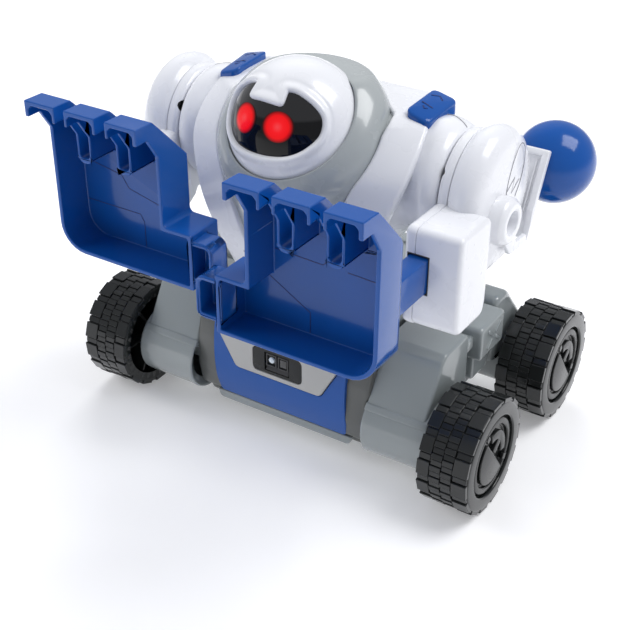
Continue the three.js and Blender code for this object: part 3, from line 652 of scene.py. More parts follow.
def front_panel():
    face = [(-9.8, 17.4), (-12.4, 28), (-13.6, 39), (-13.2, 52), (-10.8, 66), (-8.9, 72.4)]
    curve = smooth_curve(face, 5)
    slab = prism("x", np.vstack([curve, [(y + 3, z) for y, z in curve[::-1]]]), -41, 41)
    outline = fillet([(-38.6, 17.3), (38.6, 17.3), (39.7, 26), (39.9, 60), (35, 72.5), (-35, 72.5),
                      (-39.9, 60), (-39.7, 26)], [3, 3, 6, 6, 3, 3, 6, 6], 5)
    slab = common(slab, prism("y", outline, -20, 0))
    gap = fillet([(-25.7, 38.6), (25.7, 38.6), (36.6, 58), (34.2, 61.4), (-34.2, 61.4), (-36.6, 58)],
                 [4, 4, 2, 2, 2, 2], 5)
    slab = cut(slab, prism("y", gap, -20, -11.9))
    make("apron", slab, BLUE, "base", ["front_apron"], bevel=0.5, segments=3)
    plate = soft("y", grown(gap, -0.35), -14.5, -11.8, 1.0, 0.2, 4)
    hole = fillet(rect(-14.6, 15.2, 41.8, 56.4), 3, 5)
    plate = cut(plate, prism("y", hole, -20, -10))
    make("sensor_surround", plate, PLATE, "base", ["sensor_bezel"], bevel=0.25)
    pane = soft("y", grown(np.array(hole), -0.15), -14.15, -11.8, 0.3, 0.1)
    pane = cut(pane, soft("y", fillet(rect(-7.4, 7.4, 43.6, 54.6), 0.5, 2), -20, -12.9, 0.1))
    make("filter_window", pane, SOFT_BLACK, "base", ["sensor_window"])
    lamp_rings = Shape()
    for x0, x1 in ((-6.6, -0.3), (0.5, 6.7)):
        lamp_rings.add(cut(soft("y", rect(x0, x1, 46.4, 53.8), -13.9, -12.7, 0.2),
                           prism("y", rect(x0 + 0.7, x1 - 0.7, 47.1, 53.1), -20, -10)))
    lamp_rings.add(prism("x", [(-12.8, 44.0), (-14.0, 44.0), (-12.8, 46.2)], -6.6, 6.7))
    make("lamp_frame", lamp_rings, LINE_DARK, "base")
    make("clear_lamp", lathe([(0, -1.9), (0.9, -1.7), (1.6, -1.1), (1.8, 0), (1.8, 1.2), (0, 1.2)],
                             (-3.4, -12.6, 50.1), (0, 1, 0), 24), CLEAR, "base", ["ir_led"])
    make("receiver", soft("y", fillet(rect(1.5, 5.6, 47.7, 52.5), 0.4, 2), -13.6, -12.2, 0.4), RECEIVER,
         "base", ["ir_receiver"])


# ---------- torso ----------
LEVELS = [  # height, x and y of the strap's outer edge, x and y of its inner edge, y of front and back
    (73.2, 23.6, -3.0, 0.6, -8.0, -8.0, 50), (82, 25.5, -4.0, 3, -8.5, -8.7, 56),
    (90, 28.5, -5.0, 8, -9, -10, 61), (98, 32.3, -5.5, 13, -9.5, -11.6, 65.5),
    (106, 38.3, -6.0, 17.5, -10, -13.6, 69), (114, 42.6, -6, 22.5, -10, -15.6, 72.6),
    (122, 46.6, -6, 25.5, -9.5, -17.8, 75.4), (130, 50, -5.6, 29.4, -9, -19.4, 77),
    (138, 53, -4, 33.4, -8.5, -19.8, 78.4), (146, 55.5, -2.1, 35.4, -7.7, -16.5, 79),
    (152, 57.8, 0.4, 37.5, -7, -12, 78.8), (158, 59.4, 2.6, 40.4, -4.1, -6, 78.2),
    (164, 59.8, 8, 42, 0.7, -1, 76), (170, 59.8, 14.5, 42.9, 6.4, 6, 72.5),
    (175.6, 58.7, 22, 43.6, 11, 13, 67), (178, 56.8, 26.5, 44, 15, 17.6, 62),
    (179.6, 53.8, 30.5, 43, 20, 22, 58.4), (180.8, 49, 34, 40, 27, 29, 55.6),
    (181.7, 30, 40, 22, 39, 40, 52.4),
]


def section(h):
    """Half outline of the torso at height h, from the middle of the front to the middle of the back."""
    at = np.interp(h, [r[0] for r in LEVELS], np.arange(len(LEVELS)))
    i = int(min(at, len(LEVELS) - 2))
    xo, yo, xi, yi, front, back = spline_at([np.array(row[1:]) for row in LEVELS], i, at - i)
    fade = min(1, max(0, (179 - h) / 9)) * min(1, max(0, (h - 75) / 14))
    depth = 4.6 * fade + 0.8
    inset = 2.0 * fade + 0.05
    panel = back - yo - depth
    t = np.linspace(0, 1, 24)
    chest = np.stack([xi * t, yi + (front - yi) * np.cos(t * math.pi / 2)], axis=1)[:-1]
    edge = fillet([(xi, yi), (xo, yo), (xo + 0.25, yo + depth), (xo - inset, yo + depth + 1.1),
                   (xo - inset - 1.5 * fade, yo + depth + 0.3 * panel)],
                  [0, min(2.6, depth * 0.7), 0.3, 0.8, 0], 6)
    strap = [np.array([xi, yi]) + (edge[1] - edge[0]) * s for s in np.linspace(0, 1, 14)[:-1]]
    rear = min(15.0, xo * 0.6, panel * 0.45)
    end = fillet([tuple(edge[-1]), (xo - inset, back - 1), (0, back)], [0, rear, 0], 12)
    steps = np.concatenate([[0], np.cumsum(np.linalg.norm(np.diff(end, axis=0), axis=1))])
    want = np.linspace(0, steps[-1], 44)
    back_part = np.stack([np.interp(want, steps, end[:, 0]), np.interp(want, steps, end[:, 1])], axis=1)
    return np.vstack([chest, strap, edge[1:-1], back_part])


def torso_grid():
    """Rings of the torso from the waist up, closed over the top by shrinking the last one."""
    fine = np.concatenate([np.linspace(73.2, 177, 84), [177.8, 178.5, 179.1, 179.6, 180.1, 180.6, 181,
                                                        181.3, 181.55, 181.7]])
    rows = []
    for h in fine:
        half = section(h)
        rows.append(lift("z", np.vstack([half, (half * np.array([-1, 1]))[-2:0:-1]]), h))
    last = rows[-1]
    for k, s in enumerate((0.8, 0.6, 0.4, 0.2, 0.03)):
        rows.append(np.array([0, 47, 181.8 + 0.06 * k]) + (last - np.array([0, 47, last[0, 2]])) * s)
    return np.array(rows)


def smoothed_torso():
    """The torso's grid of points, its rows evened out, and its outward normals."""
    P = torso_grid()
    for _ in range(30):
        P[2:84] = (P[1:83] + 2 * P[2:84] + P[3:85]) / 4
    N = normals_of(P)
    if np.mean(np.sum(N * (P - P.mean(axis=1, keepdims=True)), axis=2)) < 0:
        N = -N
    return P, N


def flared(a, b, c):
    """Bends the ring round the shoulder: tighter in front and under the strap, flat at the top."""
    turn = math.degrees(math.atan2(c - SHOULDER[1], SHOULDER[0] - b))
    front = 1 - min(1, max(0, (turn - 52) / 34)) if turn > -40 else 1
    k = 1 - 0.09 * front * min(1, max(0, (69 - a) / 7)) ** 1.5
    k += 0.3 * max(0, (58 - a) / 14) ** 2 * min(1, max(0, (20 - turn) / 30)) * (turn > -120)
    b, c = SHOULDER[0] + (b - SHOULDER[0]) * k, SHOULDER[1] + (c - SHOULDER[1]) * k
    return a, b, min(c, 180.6 + 0.04 * (c - 180.6))


def torso():
    P, N = smoothed_torso()
    x, y, z = P[..., 0], P[..., 1], P[..., 2]
    away = np.linalg.norm(P - HEAD, axis=2)
    neck = np.where(z > 150, away - 43.8, 40)
    column = np.arange(P.shape[1])
    column = np.minimum(column, P.shape[1] - column)[None, :] - 23
    half = P[:, 23:24, 0]
    D = np.minimum(np.where(column == 0, 0.0, np.maximum(np.abs(x) - half, (y - 30) * 0.8)), neck)
    D = np.where((column < 0) & (y < 30) & (D >= 0), -0.2, D)
    lip = [(0.35, 0.08), (0.8, 0.4), (1.15, 0.9), (1.3, 1.6), (1.3, 4.6)]
    front_part = keep_part(P, N, D, lip)
    centre = (0, *SHOULDER)
    flare = [(24, 73.0), (25.8, 72.9), (26.6, 72.4), (27.3, 71.6), (28.3, 69.8), (29.2, 67.2), (29.7, 64.6),
             (29.7, 62), (29.3, 59.4), (28.6, 57), (28.2, 53), (28, 48), (28, 42)]
    ring = lathe(flare, centre, ALONG_X, 96)
    face = lathe([(8, 73.0), (15, 73.2), (23, 73.0), (24, 73.0)], centre, ALONG_X, 96)
    shell = Shape().add(front_part, both(ring.warped(flared).moved(-0.6)), both(face.moved(-0.6)))
    make("torso_shell", shell, WHITE, "base", ["torso_front", "torso_back"], sharp=40)
    inner = P - N * 2.2
    Di = np.minimum(3.5 + half - np.abs(x), z - 76)
    shield = keep_part(inner, N, np.minimum(Di, 60 - y), [(0.1, 0.5)])
    make("chest_shield", shield, PALE_GREY, "base")
    seam = [P[i][np.argmin(np.abs(P[i][60:90, 1] - 41)) + 60] for i in range(4, 80, 2)]
    line = ribbon(smooth_curve(seam, 2), ALONG_X, 0.5, 0.1)
    ridge = np.array([(a, r) for r, a in flare[2:10]])[::-1]
    over = []
    for a, r in ridge:
        ahead = 7.1 - 0.45 * max(0, a - 63)
        over.append((a - 0.6, SHOULDER[0] + ahead, SHOULDER[1] + math.sqrt(r * r - ahead * ahead)))
    line.add(ribbon(smooth_curve(over, 5), (0.3, 0, 1), 0.5, 0.12))
    make("torso_seam", both(line), LINE_GREY, "base")
    waist = soft("z", fillet(rect(-26, 26, -6, 54), 8, 6), 72.8, 75.5, 0.3, 1)
    make("waist_ring", waist, GREY, "base")


def collar():
    profile = [(31.9, -2), (31.75, 9.4), (31.9, 10.0), (32.4, 10.15), (33.2, 9.9), (36.6, 7.4), (39.6, 3.8),
               (41.6, -0.6), (42.6, -5.6), (42.4, -11), (40.8, -17), (37.2, -23.4), (31, -30), (22, -36),
               (10, -39.4), (0, -40)]
    bowl = lathe([(r, s) for r, s in smooth_curve(profile[3:], 4)], HEAD, HEAD_AXIS, 120)
    bowl.add(lathe(profile[:4], HEAD, HEAD_AXIS, 120))
    top, ease = 194.6, 3

    def eased(a, b, c):
        return a, b, c if c < top - ease else top - ease * math.exp(-(c - top + ease) / ease)

    make("collar_bowl", bowl.warped(eased), PALE_GREY, "base", ["collar"])
    gasket = lathe([(31.2, 2), (31.85, 2), (31.85, 6), (31.2, 6)], HEAD, HEAD_AXIS, 96)
    make("collar_gasket", gasket, LINE_DARK, "base")


def button_top(x, y):
    """Height of a shoulder button's top: lower outside and in front, and arched along its length."""
    s, t = (x - 47.4) / 10.2, (y - 25) / 26.2
    arch_height = 1.9 * (1 - (2 * t - 1) ** 2) * 0.55
    return (183.0 + 1.3 * t) * (1 - s) + (179.4 + 2.6 * t) * s + arch_height


def buttons():
    outline = fillet([(46.7, 24.0), (58.6, 24.8), (60.0, 51.2), (47.0, 51.9)], 3.2, 6)
    middle = outline.mean(axis=0)
    rings = [(grown(outline, g), d) for g, d in ((0, -7), (0, -1.2), (-0.1, -0.75), (-0.35, -0.35),
                                                 (-0.75, -0.1), (-1.3, 0))]
    rings += [(middle + (rings[-1][0] - middle) * s, 0) for s in (0.8, 0.6, 0.4, 0.2, 0.02)]
    cap = loft([np.array([(a, b, button_top(a, b) + d) for a, b in ring]) for ring, d in rings])
    marks = Shape()
    for path in ([(49.6, 44.0), (52.8, 46.4), (55.6, 43.6)], [(49.4, 35.4), (55.2, 34.8)],
                 [(51.2, 33.0), (52.4, 31.8), (53.6, 32.8)]):
        dense = [np.array(a) + (np.array(b) - np.array(a)) * s for a, b in zip(path, path[1:])
                 for s in np.linspace(0, 1, 5)]
        marks.add(ribbon([(a, b, button_top(a, b) + 0.02) for a, b in dense[:5] + dense[6:]], (0, 0, 1),
                         0.8, 0.08))
    for side, sign in (("left", 1), ("right", -1)):
        for name, shape, material in (("button_cap", cap, BLUE), ("button_marks", marks, LINE_BLUE)):
            shape = shape if sign > 0 else shape.mirrored()
            node = [f"shoulder_button_{side}"] if name == "button_cap" else []
            make(f"{name}_{side}", shape, material, f"button_{side}", node)


# ---------- head ----------
def ball_points(az, el, r=1.0):
    """Points on a sphere about the origin: azimuth 0 looks along -y, in degrees."""
    az, el = np.radians(az), np.radians(el)
    return r * np.stack([np.sin(az) * np.cos(el), -np.cos(az) * np.cos(el), np.sin(el)], axis=-1)


def visor_outline():
    """Edge of the face opening as (azimuth, elevation), with the tab that hangs down in its middle."""
    half = [(0, -5), (12, -4.8), (25, -3.6), (36, -0.2), (46, 5.4), (55.5, 13), (60, 21), (60.6, 29),
            (55.5, 37.4), (49, 43.4), (41, 48.4), (34, 50.8), (29, 51.3)]
    side = smooth_curve(half, 8)
    notch = fillet([(35, 51.3), (25.2, 51.5), (21.6, 37.8), (0, 36.8), (0, 20), (30, 20)],
                   [0, 3, 2.8, 0, 0, 0], 7)
    right = np.vstack([side, notch[1:-3]])
    return np.vstack([right, (right * np.array([-1, 1]))[-2:0:-1]]) + np.array([FACE_TURN, 0])


def border_distance(U, outline):
    """Signed distance in degrees from directions U to an outline, positive outside it."""
    c, s = math.cos(math.radians(20)), math.sin(math.radians(20))

    def flat(d):
        ahead = -d[..., 1] * c + d[..., 2] * s
        scale = np.where(np.abs(ahead) < 1e-3, 1e-3, ahead)[..., None]
        return np.stack([d[..., 0], d[..., 2] * c + d[..., 1] * s], axis=-1) / scale, ahead

    q, _ = flat(ball_points(outline[:, 0], outline[:, 1]))
    p, ahead = flat(U)
    shape = p.shape[:-1]
    p = p.reshape(-1, 2)
    best = np.full(len(p), 9.0)
    inside = np.zeros(len(p), bool)
    for a, b in zip(q, np.roll(q, -1, axis=0)):
        d = b - a
        t = np.clip(((p - a) @ d) / (d @ d + 1e-12), 0, 1)
        best = np.minimum(best, np.linalg.norm(p - a - t[:, None] * d, axis=1))
        crosses = (a[1] > p[:, 1]) != (b[1] > p[:, 1])
        where = a[0] + (p[:, 1] - a[1]) * (b[0] - a[0]) / (b[1] - a[1] + 1e-12)
        inside ^= crosses & (p[:, 0] < where)
    reach = 1 + np.sum(p * p, axis=1)
    best = np.degrees(best / np.sqrt(reach))
    signed = np.where(inside & (ahead.ravel() > 0), -best, best).reshape(shape)
    return np.where(ahead > 0.05, signed, 60.0)


def helmet():
    e1, e2, w = basis(ball_points(0, 22))
    theta = np.radians(np.linspace(14, 152, 170))[:, None, None]
    phi = np.linspace(0, 2 * math.pi, 300, endpoint=False)[None, :, None]
    U = np.cos(theta) * w + np.sin(theta) * (np.cos(phi) * e1 + np.sin(phi) * e2)
    d = border_distance(U, visor_outline()) * math.pi / 180 * HELMET_RADIUS
    away = np.clip(d - 1.5, 0, None)
    rise = 0.75 * np.exp(-(away / 2.2) ** 2) - 0.3 * np.exp(-((away - 4.4) / 1.8) ** 2)
    height = U @ HEAD_AXIS * HELMET_RADIUS
    rise = rise * np.clip((height - 11) / 5, 0, 1)
    P = HEAD + U * (32.55 + rise)[..., None]
    D = np.minimum(d - 1.5, height - 4)
    lip = [(0.4, 0.06), (0.8, 0.24), (1.15, 0.6), (1.4, 1.05), (1.5, 1.6), (1.52, 2.9)]
    shell = keep_part(P, U, D, lip)
    make("helmet_shell", shell, WHITE, "head", ["helmet"], sharp=50)
    sphere = [HEAD + ball_points(np.linspace(-66, 66, 70), np.full(70, el), VISOR_RADIUS)
              for el in np.linspace(-14, 60, 44)]
    glass = loft(sphere, first=False, last=False, loop=False)
    make("visor_glass", glass, VISOR, "head", ["visor"])
    inner = lathe([(0, -30), (12, -27.5), (22, -21), (28, -11), (30.2, 0), (30.6, 6)], HEAD, HEAD_AXIS, 72)
    make("helmet_lining", inner, SOFT_BLACK, "head", ["neck_pivot"])


def eyes():
    """Lenses just proud of the visor. Their "radius" layer runs from 0 in the middle to 1 at the rim."""
    outer = VISOR_RADIUS + 0.15
    t = np.linspace(0, 2 * math.pi, 48, endpoint=False)[:, None]
    for side, sign in (("left", 1), ("right", -1)):
        w = ball_points(18.7 * sign + FACE_TURN + 0.3, 21.2)
        a1 = np.cross((0, 0, 1), w) / math.hypot(w[0], w[1])
        a2 = np.cross(w, a1)
        rings = []
        for r in np.linspace(0.02, EYE_RADIUS, 18):
            q = w * VISOR_RADIUS + r * (1.07 * np.cos(t) * a1 + 0.97 * np.sin(t) * a2)
            rings.append(HEAD + q / np.linalg.norm(q, axis=1)[:, None] * outer)
        lens = loft(rings, first=True, last=False)
        obj = make(f"eye_lens_{side}", lens, EYE, "head", [f"eye_{side}"])
        centre = Vector((HEAD + w * outer) * 0.001) + Vector((0, AXLE_Y, 0))
        layer = obj.data.attributes.new("radius", "FLOAT", "POINT")
        for v in obj.data.vertices:
            layer.data[v.index].value = min(1.0, (v.co - centre).length * 1000 / EYE_RADIUS)


# ---------- arms (drawn for the left side, at rest level) ----------
def arm_side(side, shape):
    """A left arm's shape put in place for either side: only the left arm is raised."""
    return shape.turned(-LIFT, SHOULDER) if side == "left" else shape.mirrored()


def shoulder_arc(end, n):
    """Arc round the shoulder from its low rear end, as (y, z)."""
    return arc(*SHOULDER, SHOULDER_RADIUS, -46, end, n)


LOW_REAR = (SHOULDER[0] + SHOULDER_RADIUS * math.cos(math.radians(-46)) - 3, 113.4)


def dome_outline():
    return np.array(shoulder_arc(186, 40) + [(SHOULDER[0] - SHOULDER_RADIUS + 0.6, 128), (14, 113.4),
                                             LOW_REAR])


def arm_outline():
    corner = fillet([(0, 150.7), (-21, 150.7), (-21, 102), (9, 102), (22, 110), (24, 113.4), (50, 113.4)],
                    [0, 3.5, 4, 6, 3, 2, 0], 6)
    return np.vstack([shoulder_arc(176.5, 44), corner[:-1], [LOW_REAR]])


def scaled_rings(outline, profile):
    """Loft along X whose rings are scaled about the shoulder: profile holds (growth at its radius, x)."""
    c = np.array(SHOULDER)
    return loft([lift("x", c + (np.asarray(outline) - c) * (1 + g / SHOULDER_RADIUS), level)
                 for g, level in profile])


def arm_dome(hole):
    """Rounded outer half of the shoulder, kept clear of the paddle underneath."""
    dome = scaled_rings(dome_outline(), [(-1, 78.95), (-0.2, 79.0), (0, 79.25), (1.0, 80.0), (2.2, 81.8),
                                         (3.2, 84.2), (3.6, 86.4), (3.4, 88.4), (2.5, 90.6), (0.9, 92.5),
                                         (-1.6, 94.1), (-5, 95.0), (-9.5, 95.4), (-15, 95.55)])
    return cut(dome.warped(lambda a, b, c: (a, min(b, 50.0) if c < 120 else b, max(c, 113.2))), hole)


def forearm(hole):
    low_box = soft("x", fillet([(-21, 102), (7.4, 102), (24, 110.6), (25, 114), (25, 150.7), (-21, 150.7)],
                               [5, 6, 3, 3.2, 3.2, 3.8], 6), 78.9, 92.2, 0.3, 2.6, 4)
    high_box = soft("x", fillet([(-21, 102), (5.6, 102), (7.6, 109), (7.9, 150.7), (-21, 150.7)],
                                [5.5, 5, 6, 3, 3.6], 6), 80, 101.2, 0.3, 2.4, 5)
    return cut(join(low_box, high_box), hole)


def arm_screw():
    screw = lathe([(0, 73.9), (1.0, 73.9), (2.5, 74.0), (2.75, 74.4), (2.75, 75), (0, 75)], ARM_SCREW,
                  ALONG_X, 24)
    return cut(screw, block(73, 74.3, 13.6, 14.4, 159.8, 164.2), block(73, 74.3, 11.8, 16.2, 161.6, 162.4))


def elbow_boss():
    boss = lathe([(0, 98.6), (5.2, 98.6), (5.9, 98.8), (6.0, 99.4), (6.0, 102.9), (6.3, 103.35),
                  (6.9, 103.55), (8.6, 103.55), (9.4, 103.3), (11.1, 101.6), (11.5, 100.8), (11.5, 90),
                  (0, 90)], ELBOW, ALONG_X, 64)
    lip = [(6.0, 103.2), (6.6, 103.45), (7.4, 103.58), (8.2, 103.45), (8.5, 103.2)]
    return boss.add(lathe(lip, ELBOW, ALONG_X, 64))


def arm_lines():
    """Generic grooves on the shoulder's flat face."""
    leaf = smooth_curve([(33, 146), (33.6, 154), (38, 164), (44, 170.5), (49, 168), (50.4, 160), (48, 152),
                         (43, 145)], 6)
    zig = [(33.4, 151), (41, 155.4), (38.6, 148.4), (46, 152.8)]
    x = 95.62
    lines = ribbon([(x, a, b) for a, b in leaf], ALONG_X, 0.45, 0.08)
    return lines.add(ribbon([(x, a, b) for a, b in zig], ALONG_X, 0.45, 0.08))


def arms():
    hole = prism("y", rect(75.2, 85.6, 119.9, 138.5), -60, 26.4)
    inner = pillow("x", arm_outline(), [(-2.6, 73.1), (-1.5, 73.35), (-0.7, 73.9), (-0.2, 74.8), (0, 75.8),
                                        (0, 78.4), (-0.2, 78.6), (-1, 78.65)])
    seat = lathe([(0, 72), (3.0, 72), (3.0, 74.6), (0, 74.6)], ARM_SCREW, ALONG_X, 28)
    mouth = cut(soft("y", rect(74.9, 85.9, 119.6, 138.8), -21.15, -16, 0.1),
                prism("y", rect(75.35, 85.45, 120.1, 138.3), -30, 0))
    parts = (
        ("arm_inside", cut(inner, hole, seat), WHITE, "white", "arm_inner", 42),
        ("arm_outside", Shape().add(arm_dome(hole), forearm(hole)), WHITE, "white", "arm_outer", 42),
        ("bar_slot", mouth, LINE_DARK, "white", None, 34),
        ("screw_head", arm_screw(), SOFT_BLACK, "steel", "arm_screw", 34),
        ("boss", elbow_boss(), WHITE, "white", "elbow_boss", 30),
        ("arm_panel", arm_lines(), LINE_GREY, "white", None, 34),
    )
    for side in ("left", "right"):
        for name, shape, material, slot, node, sharp in parts:
            replaced = [f"{node}_{side}"] if node else []
            make(f"{name}_{side}", arm_side(side, shape), material, f"arm_{side}", replaced,
                 sharp=sharp)


# ---------- hands (left side, pulled in) ----------
FRONT = -71.2                    # the hand's foremost edge
HAND_DEPTH = 34.5
WALL = 2.1
CAP_X = [31.2, 54.5, 77.8]       # inner edge of each finger
CAP_WIDTH = 17.5


def hand():
    """Open tray with three hollow finger caps along its top and a thumb beside it."""
    rim, back, t, thin = FRONT + 14, FRONT + HAND_DEPTH, WALL, 1.4
    top, bottom, outer = 189.4, 108.3, 95.3
    side = [(FRONT, top), (FRONT, top - 7.8), (FRONT + 7.6, top - 7.8), (rim, 171.5), (rim, bottom - 1),
            (back, bottom - 1), (back, 166), (FRONT + 15.6, top - 4.2), (FRONT + 11.6, top - 0.3)]
    front = fillet([(15.6, bottom), (outer, bottom), (outer, top + 4), (31.2, top + 4), (31.2, 137),
                    (15.6, 137)], [1, 14, 0, 0, 2.6, 1], 7)
    body = common(prism("x", side, 0, 110), prism("y", front, -140, 0))
    side_in = [(FRONT - 9, top - t), (FRONT - 9, bottom - 9), (back - t, bottom - 9), (back - t, 165.2),
               (FRONT + 14.6, top - 5.2 - t / 2), (FRONT + 11.2, top - t - 0.2)]
    hollow = prism("y", fillet([(17.8, bottom + t), (outer - t, bottom + t), (outer - t, 160), (33.3, 160),
                                (33.3, 134.9), (17.8, 134.9)], [0.8, 12, 0, 0, 0.8, 0.8], 7), -140, 0)
    body = cut(body, common(prism("x", side_in, 0, 110), hollow))
    for k, x in enumerate(CAP_X):
        a, b, c = x + (t if k == 0 else thin), x + CAP_WIDTH - (t if k == 2 else thin), 1.8
        cell = prism("y", [(a, 159.4), (a, top - t - c), (a + c, top - t), (b - c, top - t),
                           (b, top - t - c), (b, 159.4)], -140, 0)
        body = cut(body, common(prism("x", side_in, 0, 110), cell))
    for x in CAP_X[:2]:
        a, b = x + CAP_WIDTH, x + 23.3
        loop = fillet([(a - thin, 157.6), (b + thin, 157.6), (b + thin, 176), (a - thin, 176)],
                      [4, 4, 0, 0], 6)
        body = join(body, common(prism("x", side, 0, 110), prism("y", loop, -140, 0)))
        slot = prism("y", fillet([(a, 160.2), (b, 160.2), (b, 200), (a, 200)], [2.4, 2.4, 0, 0], 6), -140,
                     back - t)
        body = cut(body, slot, block(a, b, -140, 0, 172.5, 200))
    body = cut(body, prism("z", [(outer + 0.1, FRONT + 30), (outer - 1.5, back + 0.3),
                                 (outer + 4, back + 0.3), (outer + 4, FRONT + 30)], 90, 200),
               prism("x", [(FRONT + 30, bottom - 0.1), (back + 0.3, bottom + 1.5), (back + 0.3, bottom - 5),
                           (FRONT + 30, bottom - 5)], 0, 110))
    thumb = soft("y", fillet(rect(4.7, 17.9, 113.4, 133.8), [3.4, 0.5, 0.5, 4.2], 5), rim + 0.6, rim + 12,
                 0.1)
    thumb = cut(thumb, prism("y", fillet(rect(4.7 + t, 15.6, 113.4 + t, 133.8 - t), [1.6, 0.6, 0.6, 2], 4),
                             -140, rim + 9.6))
    return join(body, thumb)


def hand_lines(flip):
    """Generic grooves on the tray's floor, in two layouts."""
    y = FRONT + HAND_DEPTH - WALL - 0.04
    paths = [[(17.8, 141), (52, 121), (52, 111)], [(34, 147), (58, 146), (62, 150)], [(70, 146), (93, 145)]]
    if flip:
        paths = [[(93, 150), (70, 146), (66, 140), (36, 133)], [(93, 128), (60, 128), (58, 124), (58, 111)]]
    shape = Shape()
    for path in paths:
        dense = []
        for (a, b), (c, d) in zip(path, path[1:]):
            dense += [(a + (c - a) * s, y, b + (d - b) * s) for s in np.linspace(0, 1, 8)[:-1]]
        dense.append((path[-1][0], y, path[-1][1]))
        shape.add(ribbon(dense, (0, -1, 0), 0.42, 0.05))
    return shape


def hands():
    empty_hand = hand()
    for side in ("left", "right"):
        body = f"punch_{side}"
        reach = REACH if side == "left" else 0.0
        make(f"hand_shell_{side}", arm_side(side, empty_hand.moved(0, -reach)), BLUE, body,
             [f"hand_{side}"], bevel=0.6, segments=3)
        lines = hand_lines(side == "right").moved(0, -reach)
        make(f"hand_grooves_{side}", arm_side(side, lines), LINE_BLUE, body)
        y0 = FRONT + HAND_DEPTH + 0.3 - reach
        bar = soft("y", fillet(rect(75.6, 85.2, 120.7, 137.6), 0.7, 3), y0, y0 + 62, 0.3)
        cuff = soft("y", fillet(rect(74.2, 86.6, 119.2, 139.2), 1.2, 3), y0 - 1.2, y0 + 3.5, 0.2, 0.8)
        ridge = soft("y", fillet(rect(77.2, 83.6, 137, 139.0), 0.6, 3), y0 + 1, y0 + 13, 0.2, 0.8)
        rail = soft("y", fillet(rect(66, 72.6, 104, 114), 1.0, 3), y0 - 0.6, y0 + 40, 0.3, 0.8)
        shape = Shape().add(bar, cuff, ridge, rail)
        make(f"bar_{side}", arm_side(side, shape), BLUE, body, [f"punch_bar_{side}"])


def paddle():
    foot, head = np.array([55.4, 117.6]), np.array([75.0, 156.6])
    length = float(np.linalg.norm(head - foot))
    d = (head - foot) / length
    n = np.array([d[1], -d[0]])

    def at(along, behind):
        return tuple(foot + d * along + n * behind)

    plate = soft("x", fillet([at(0.3, 0.0), at(length, -0.4), at(length, 1.0), at(0.3, 1.1)], 0.4, 2), 79,
                 98.2, 0.4)
    edge = fillet([at(0, 0), at(7, -0.4), at(14, -2.2), at(length, -2.3), at(length, 1.35), at(0, 1.35)],
                  [0.4, 2, 3, 1.4, 1.2, 0.5], 5)
    rim_side = soft("x", edge, 95.2, 98.55, 0.4)
    rim_back = soft("x", edge, 79.0, 82.0, 0.4)
    bead = soft("x", fillet([at(3, -1.2), at(length - 5, -1.2), at(length - 5, 1.3), at(3, 1.3)], 0.4, 2),
                92.6, 93.6, 0.3)
    rim_top = soft("x", fillet([at(length - 3.4, -2.3), at(length, -2.3), at(length, 1.35),
                                at(length - 3.4, 1.35)], 1.1, 5), 79.2, 98.5, 0.8)
    lever = soft("x", fillet([(29, 127.6), (37, 117.8), (52, 116.8), (56, 117.4), (54.6, 121.4),
                              (44, 121.8), (37, 130)], [1, 3, 3, 2, 1, 3, 1], 4), 96.3, 98.5, 0.5)
    make("paddle_plate", arm_side("left", Shape().add(plate, rim_side, rim_back, bead, rim_top, lever)),
         WHITE, "paddle", ["ball_paddle"])
    t = np.linspace(-math.pi / 2, math.pi / 2, 41)
    ball = lathe([(BALL_RADIUS * math.cos(a), BALL_RADIUS * math.sin(a)) for a in t], (93.9, 93.2, 143.2),
                 (0.2, 0.9, 0.3), 72)
    make("ball", arm_side("left", ball), BLUE, "paddle", ["paddle_ball"])


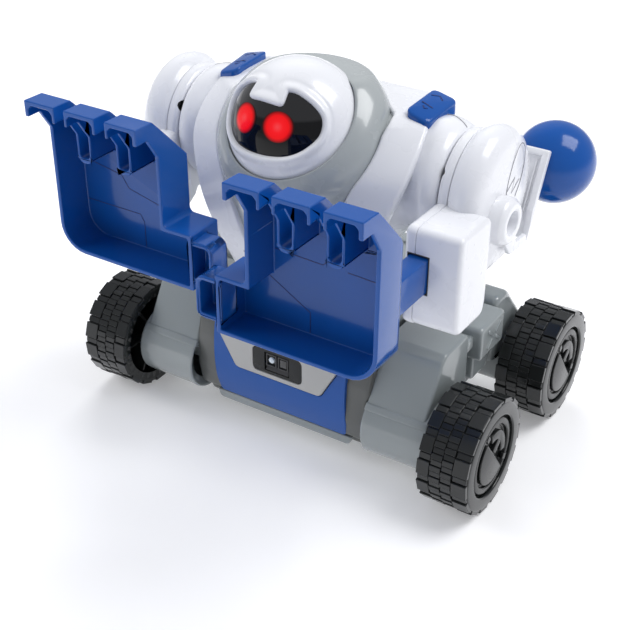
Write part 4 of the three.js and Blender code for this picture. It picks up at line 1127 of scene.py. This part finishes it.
def carried_over():
    """CAD nodes that stay as they are and only get a finish."""
    finishes = {"circuit_board": BOARD, "speaker": SOFT_BLACK}
    for side in ("left", "right"):
        finishes[f"gearbox_{side}"] = NATURAL
        finishes[f"drive_motor_{side}"] = STEEL
        finishes[f"shoulder_shaft_{side}"] = GREY
        for end in ("front", "rear"):
            finishes[f"axle_{end}_{side}"] = STEEL
    for i in range(4):
        finishes[f"battery_{i + 1}"] = WRAP
    for name, material in finishes.items():
        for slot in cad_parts[name].material_slots:
            slot.material = material


wheels()
chassis()
front_panel()
torso()
collar()
buttons()
helmet()
eyes()
arms()
hands()
paddle()
carried_over()


# ---------- camera, light, floor ----------
LIGHTS = (  # name, place in metres, size, power: "sheen" only makes highlights, "back" and "left" make none
    ("key", (0.6, 0.3, 1.1), 0.7, 9),
    ("back", (-0.75, 1.15, 0.95), 0.9, 11),
    ("left", (-1.2, -0.55, 0.75), 0.7, 8),
    ("sheen", (-0.75, 1.15, 0.95), 0.9, 3),
)


def studio():
    scene = bpy.context.scene
    cam = bpy.data.objects.new("camera", bpy.data.cameras.new("camera"))
    scene.collection.objects.link(cam)
    az, el = math.radians(32.59), math.radians(31.69)
    back = Vector((math.sin(az) * math.cos(el), -math.cos(az) * math.cos(el), math.sin(el)))
    cam.location = (0.30004, -0.44763 + AXLE_Y, 0.40378)
    cam.rotation_euler = back.to_track_quat("Z", "Y").to_euler()
    cam.data.lens = 72.13
    cam.data.sensor_width = 36
    scene.camera = cam

    world = bpy.data.worlds.new("studio")
    world.use_nodes = True
    shade = world.node_tree.nodes["Background"]
    shade.inputs["Color"].default_value = (0.92, 0.94, 1.0, 1)
    shade.inputs["Strength"].default_value = 0.46
    scene.world = world

    for name, where, size, power in LIGHTS:
        light = bpy.data.objects.new(name, bpy.data.lights.new(name, "AREA"))
        light.data.size = size
        light.data.energy = power
        light.visible_glossy = name in ("key", "sheen")
        light.visible_diffuse = name != "sheen"
        light.location = where
        light.rotation_euler = (Vector(where) - Vector((0, 0, 0.1))).to_track_quat("Z", "Y").to_euler()
        scene.collection.objects.link(light)

    floor = loft([lift("z", circle(0, 0, 60, 64), 0)], first=True, last=False)
    plane = raw_object(floor, "floor")
    paper = plastic("paper", (0.88, 0.88, 0.89), 0.8, coat=0, grain=0.0, edge_highlight_and_wear=0, tint=0.005, shine=0.1,
                    glow=0.25)
    plane.data.materials.append(paper)
    scene.view_settings.view_transform = "Standard"
    scene.view_settings.look = "None"


studio()
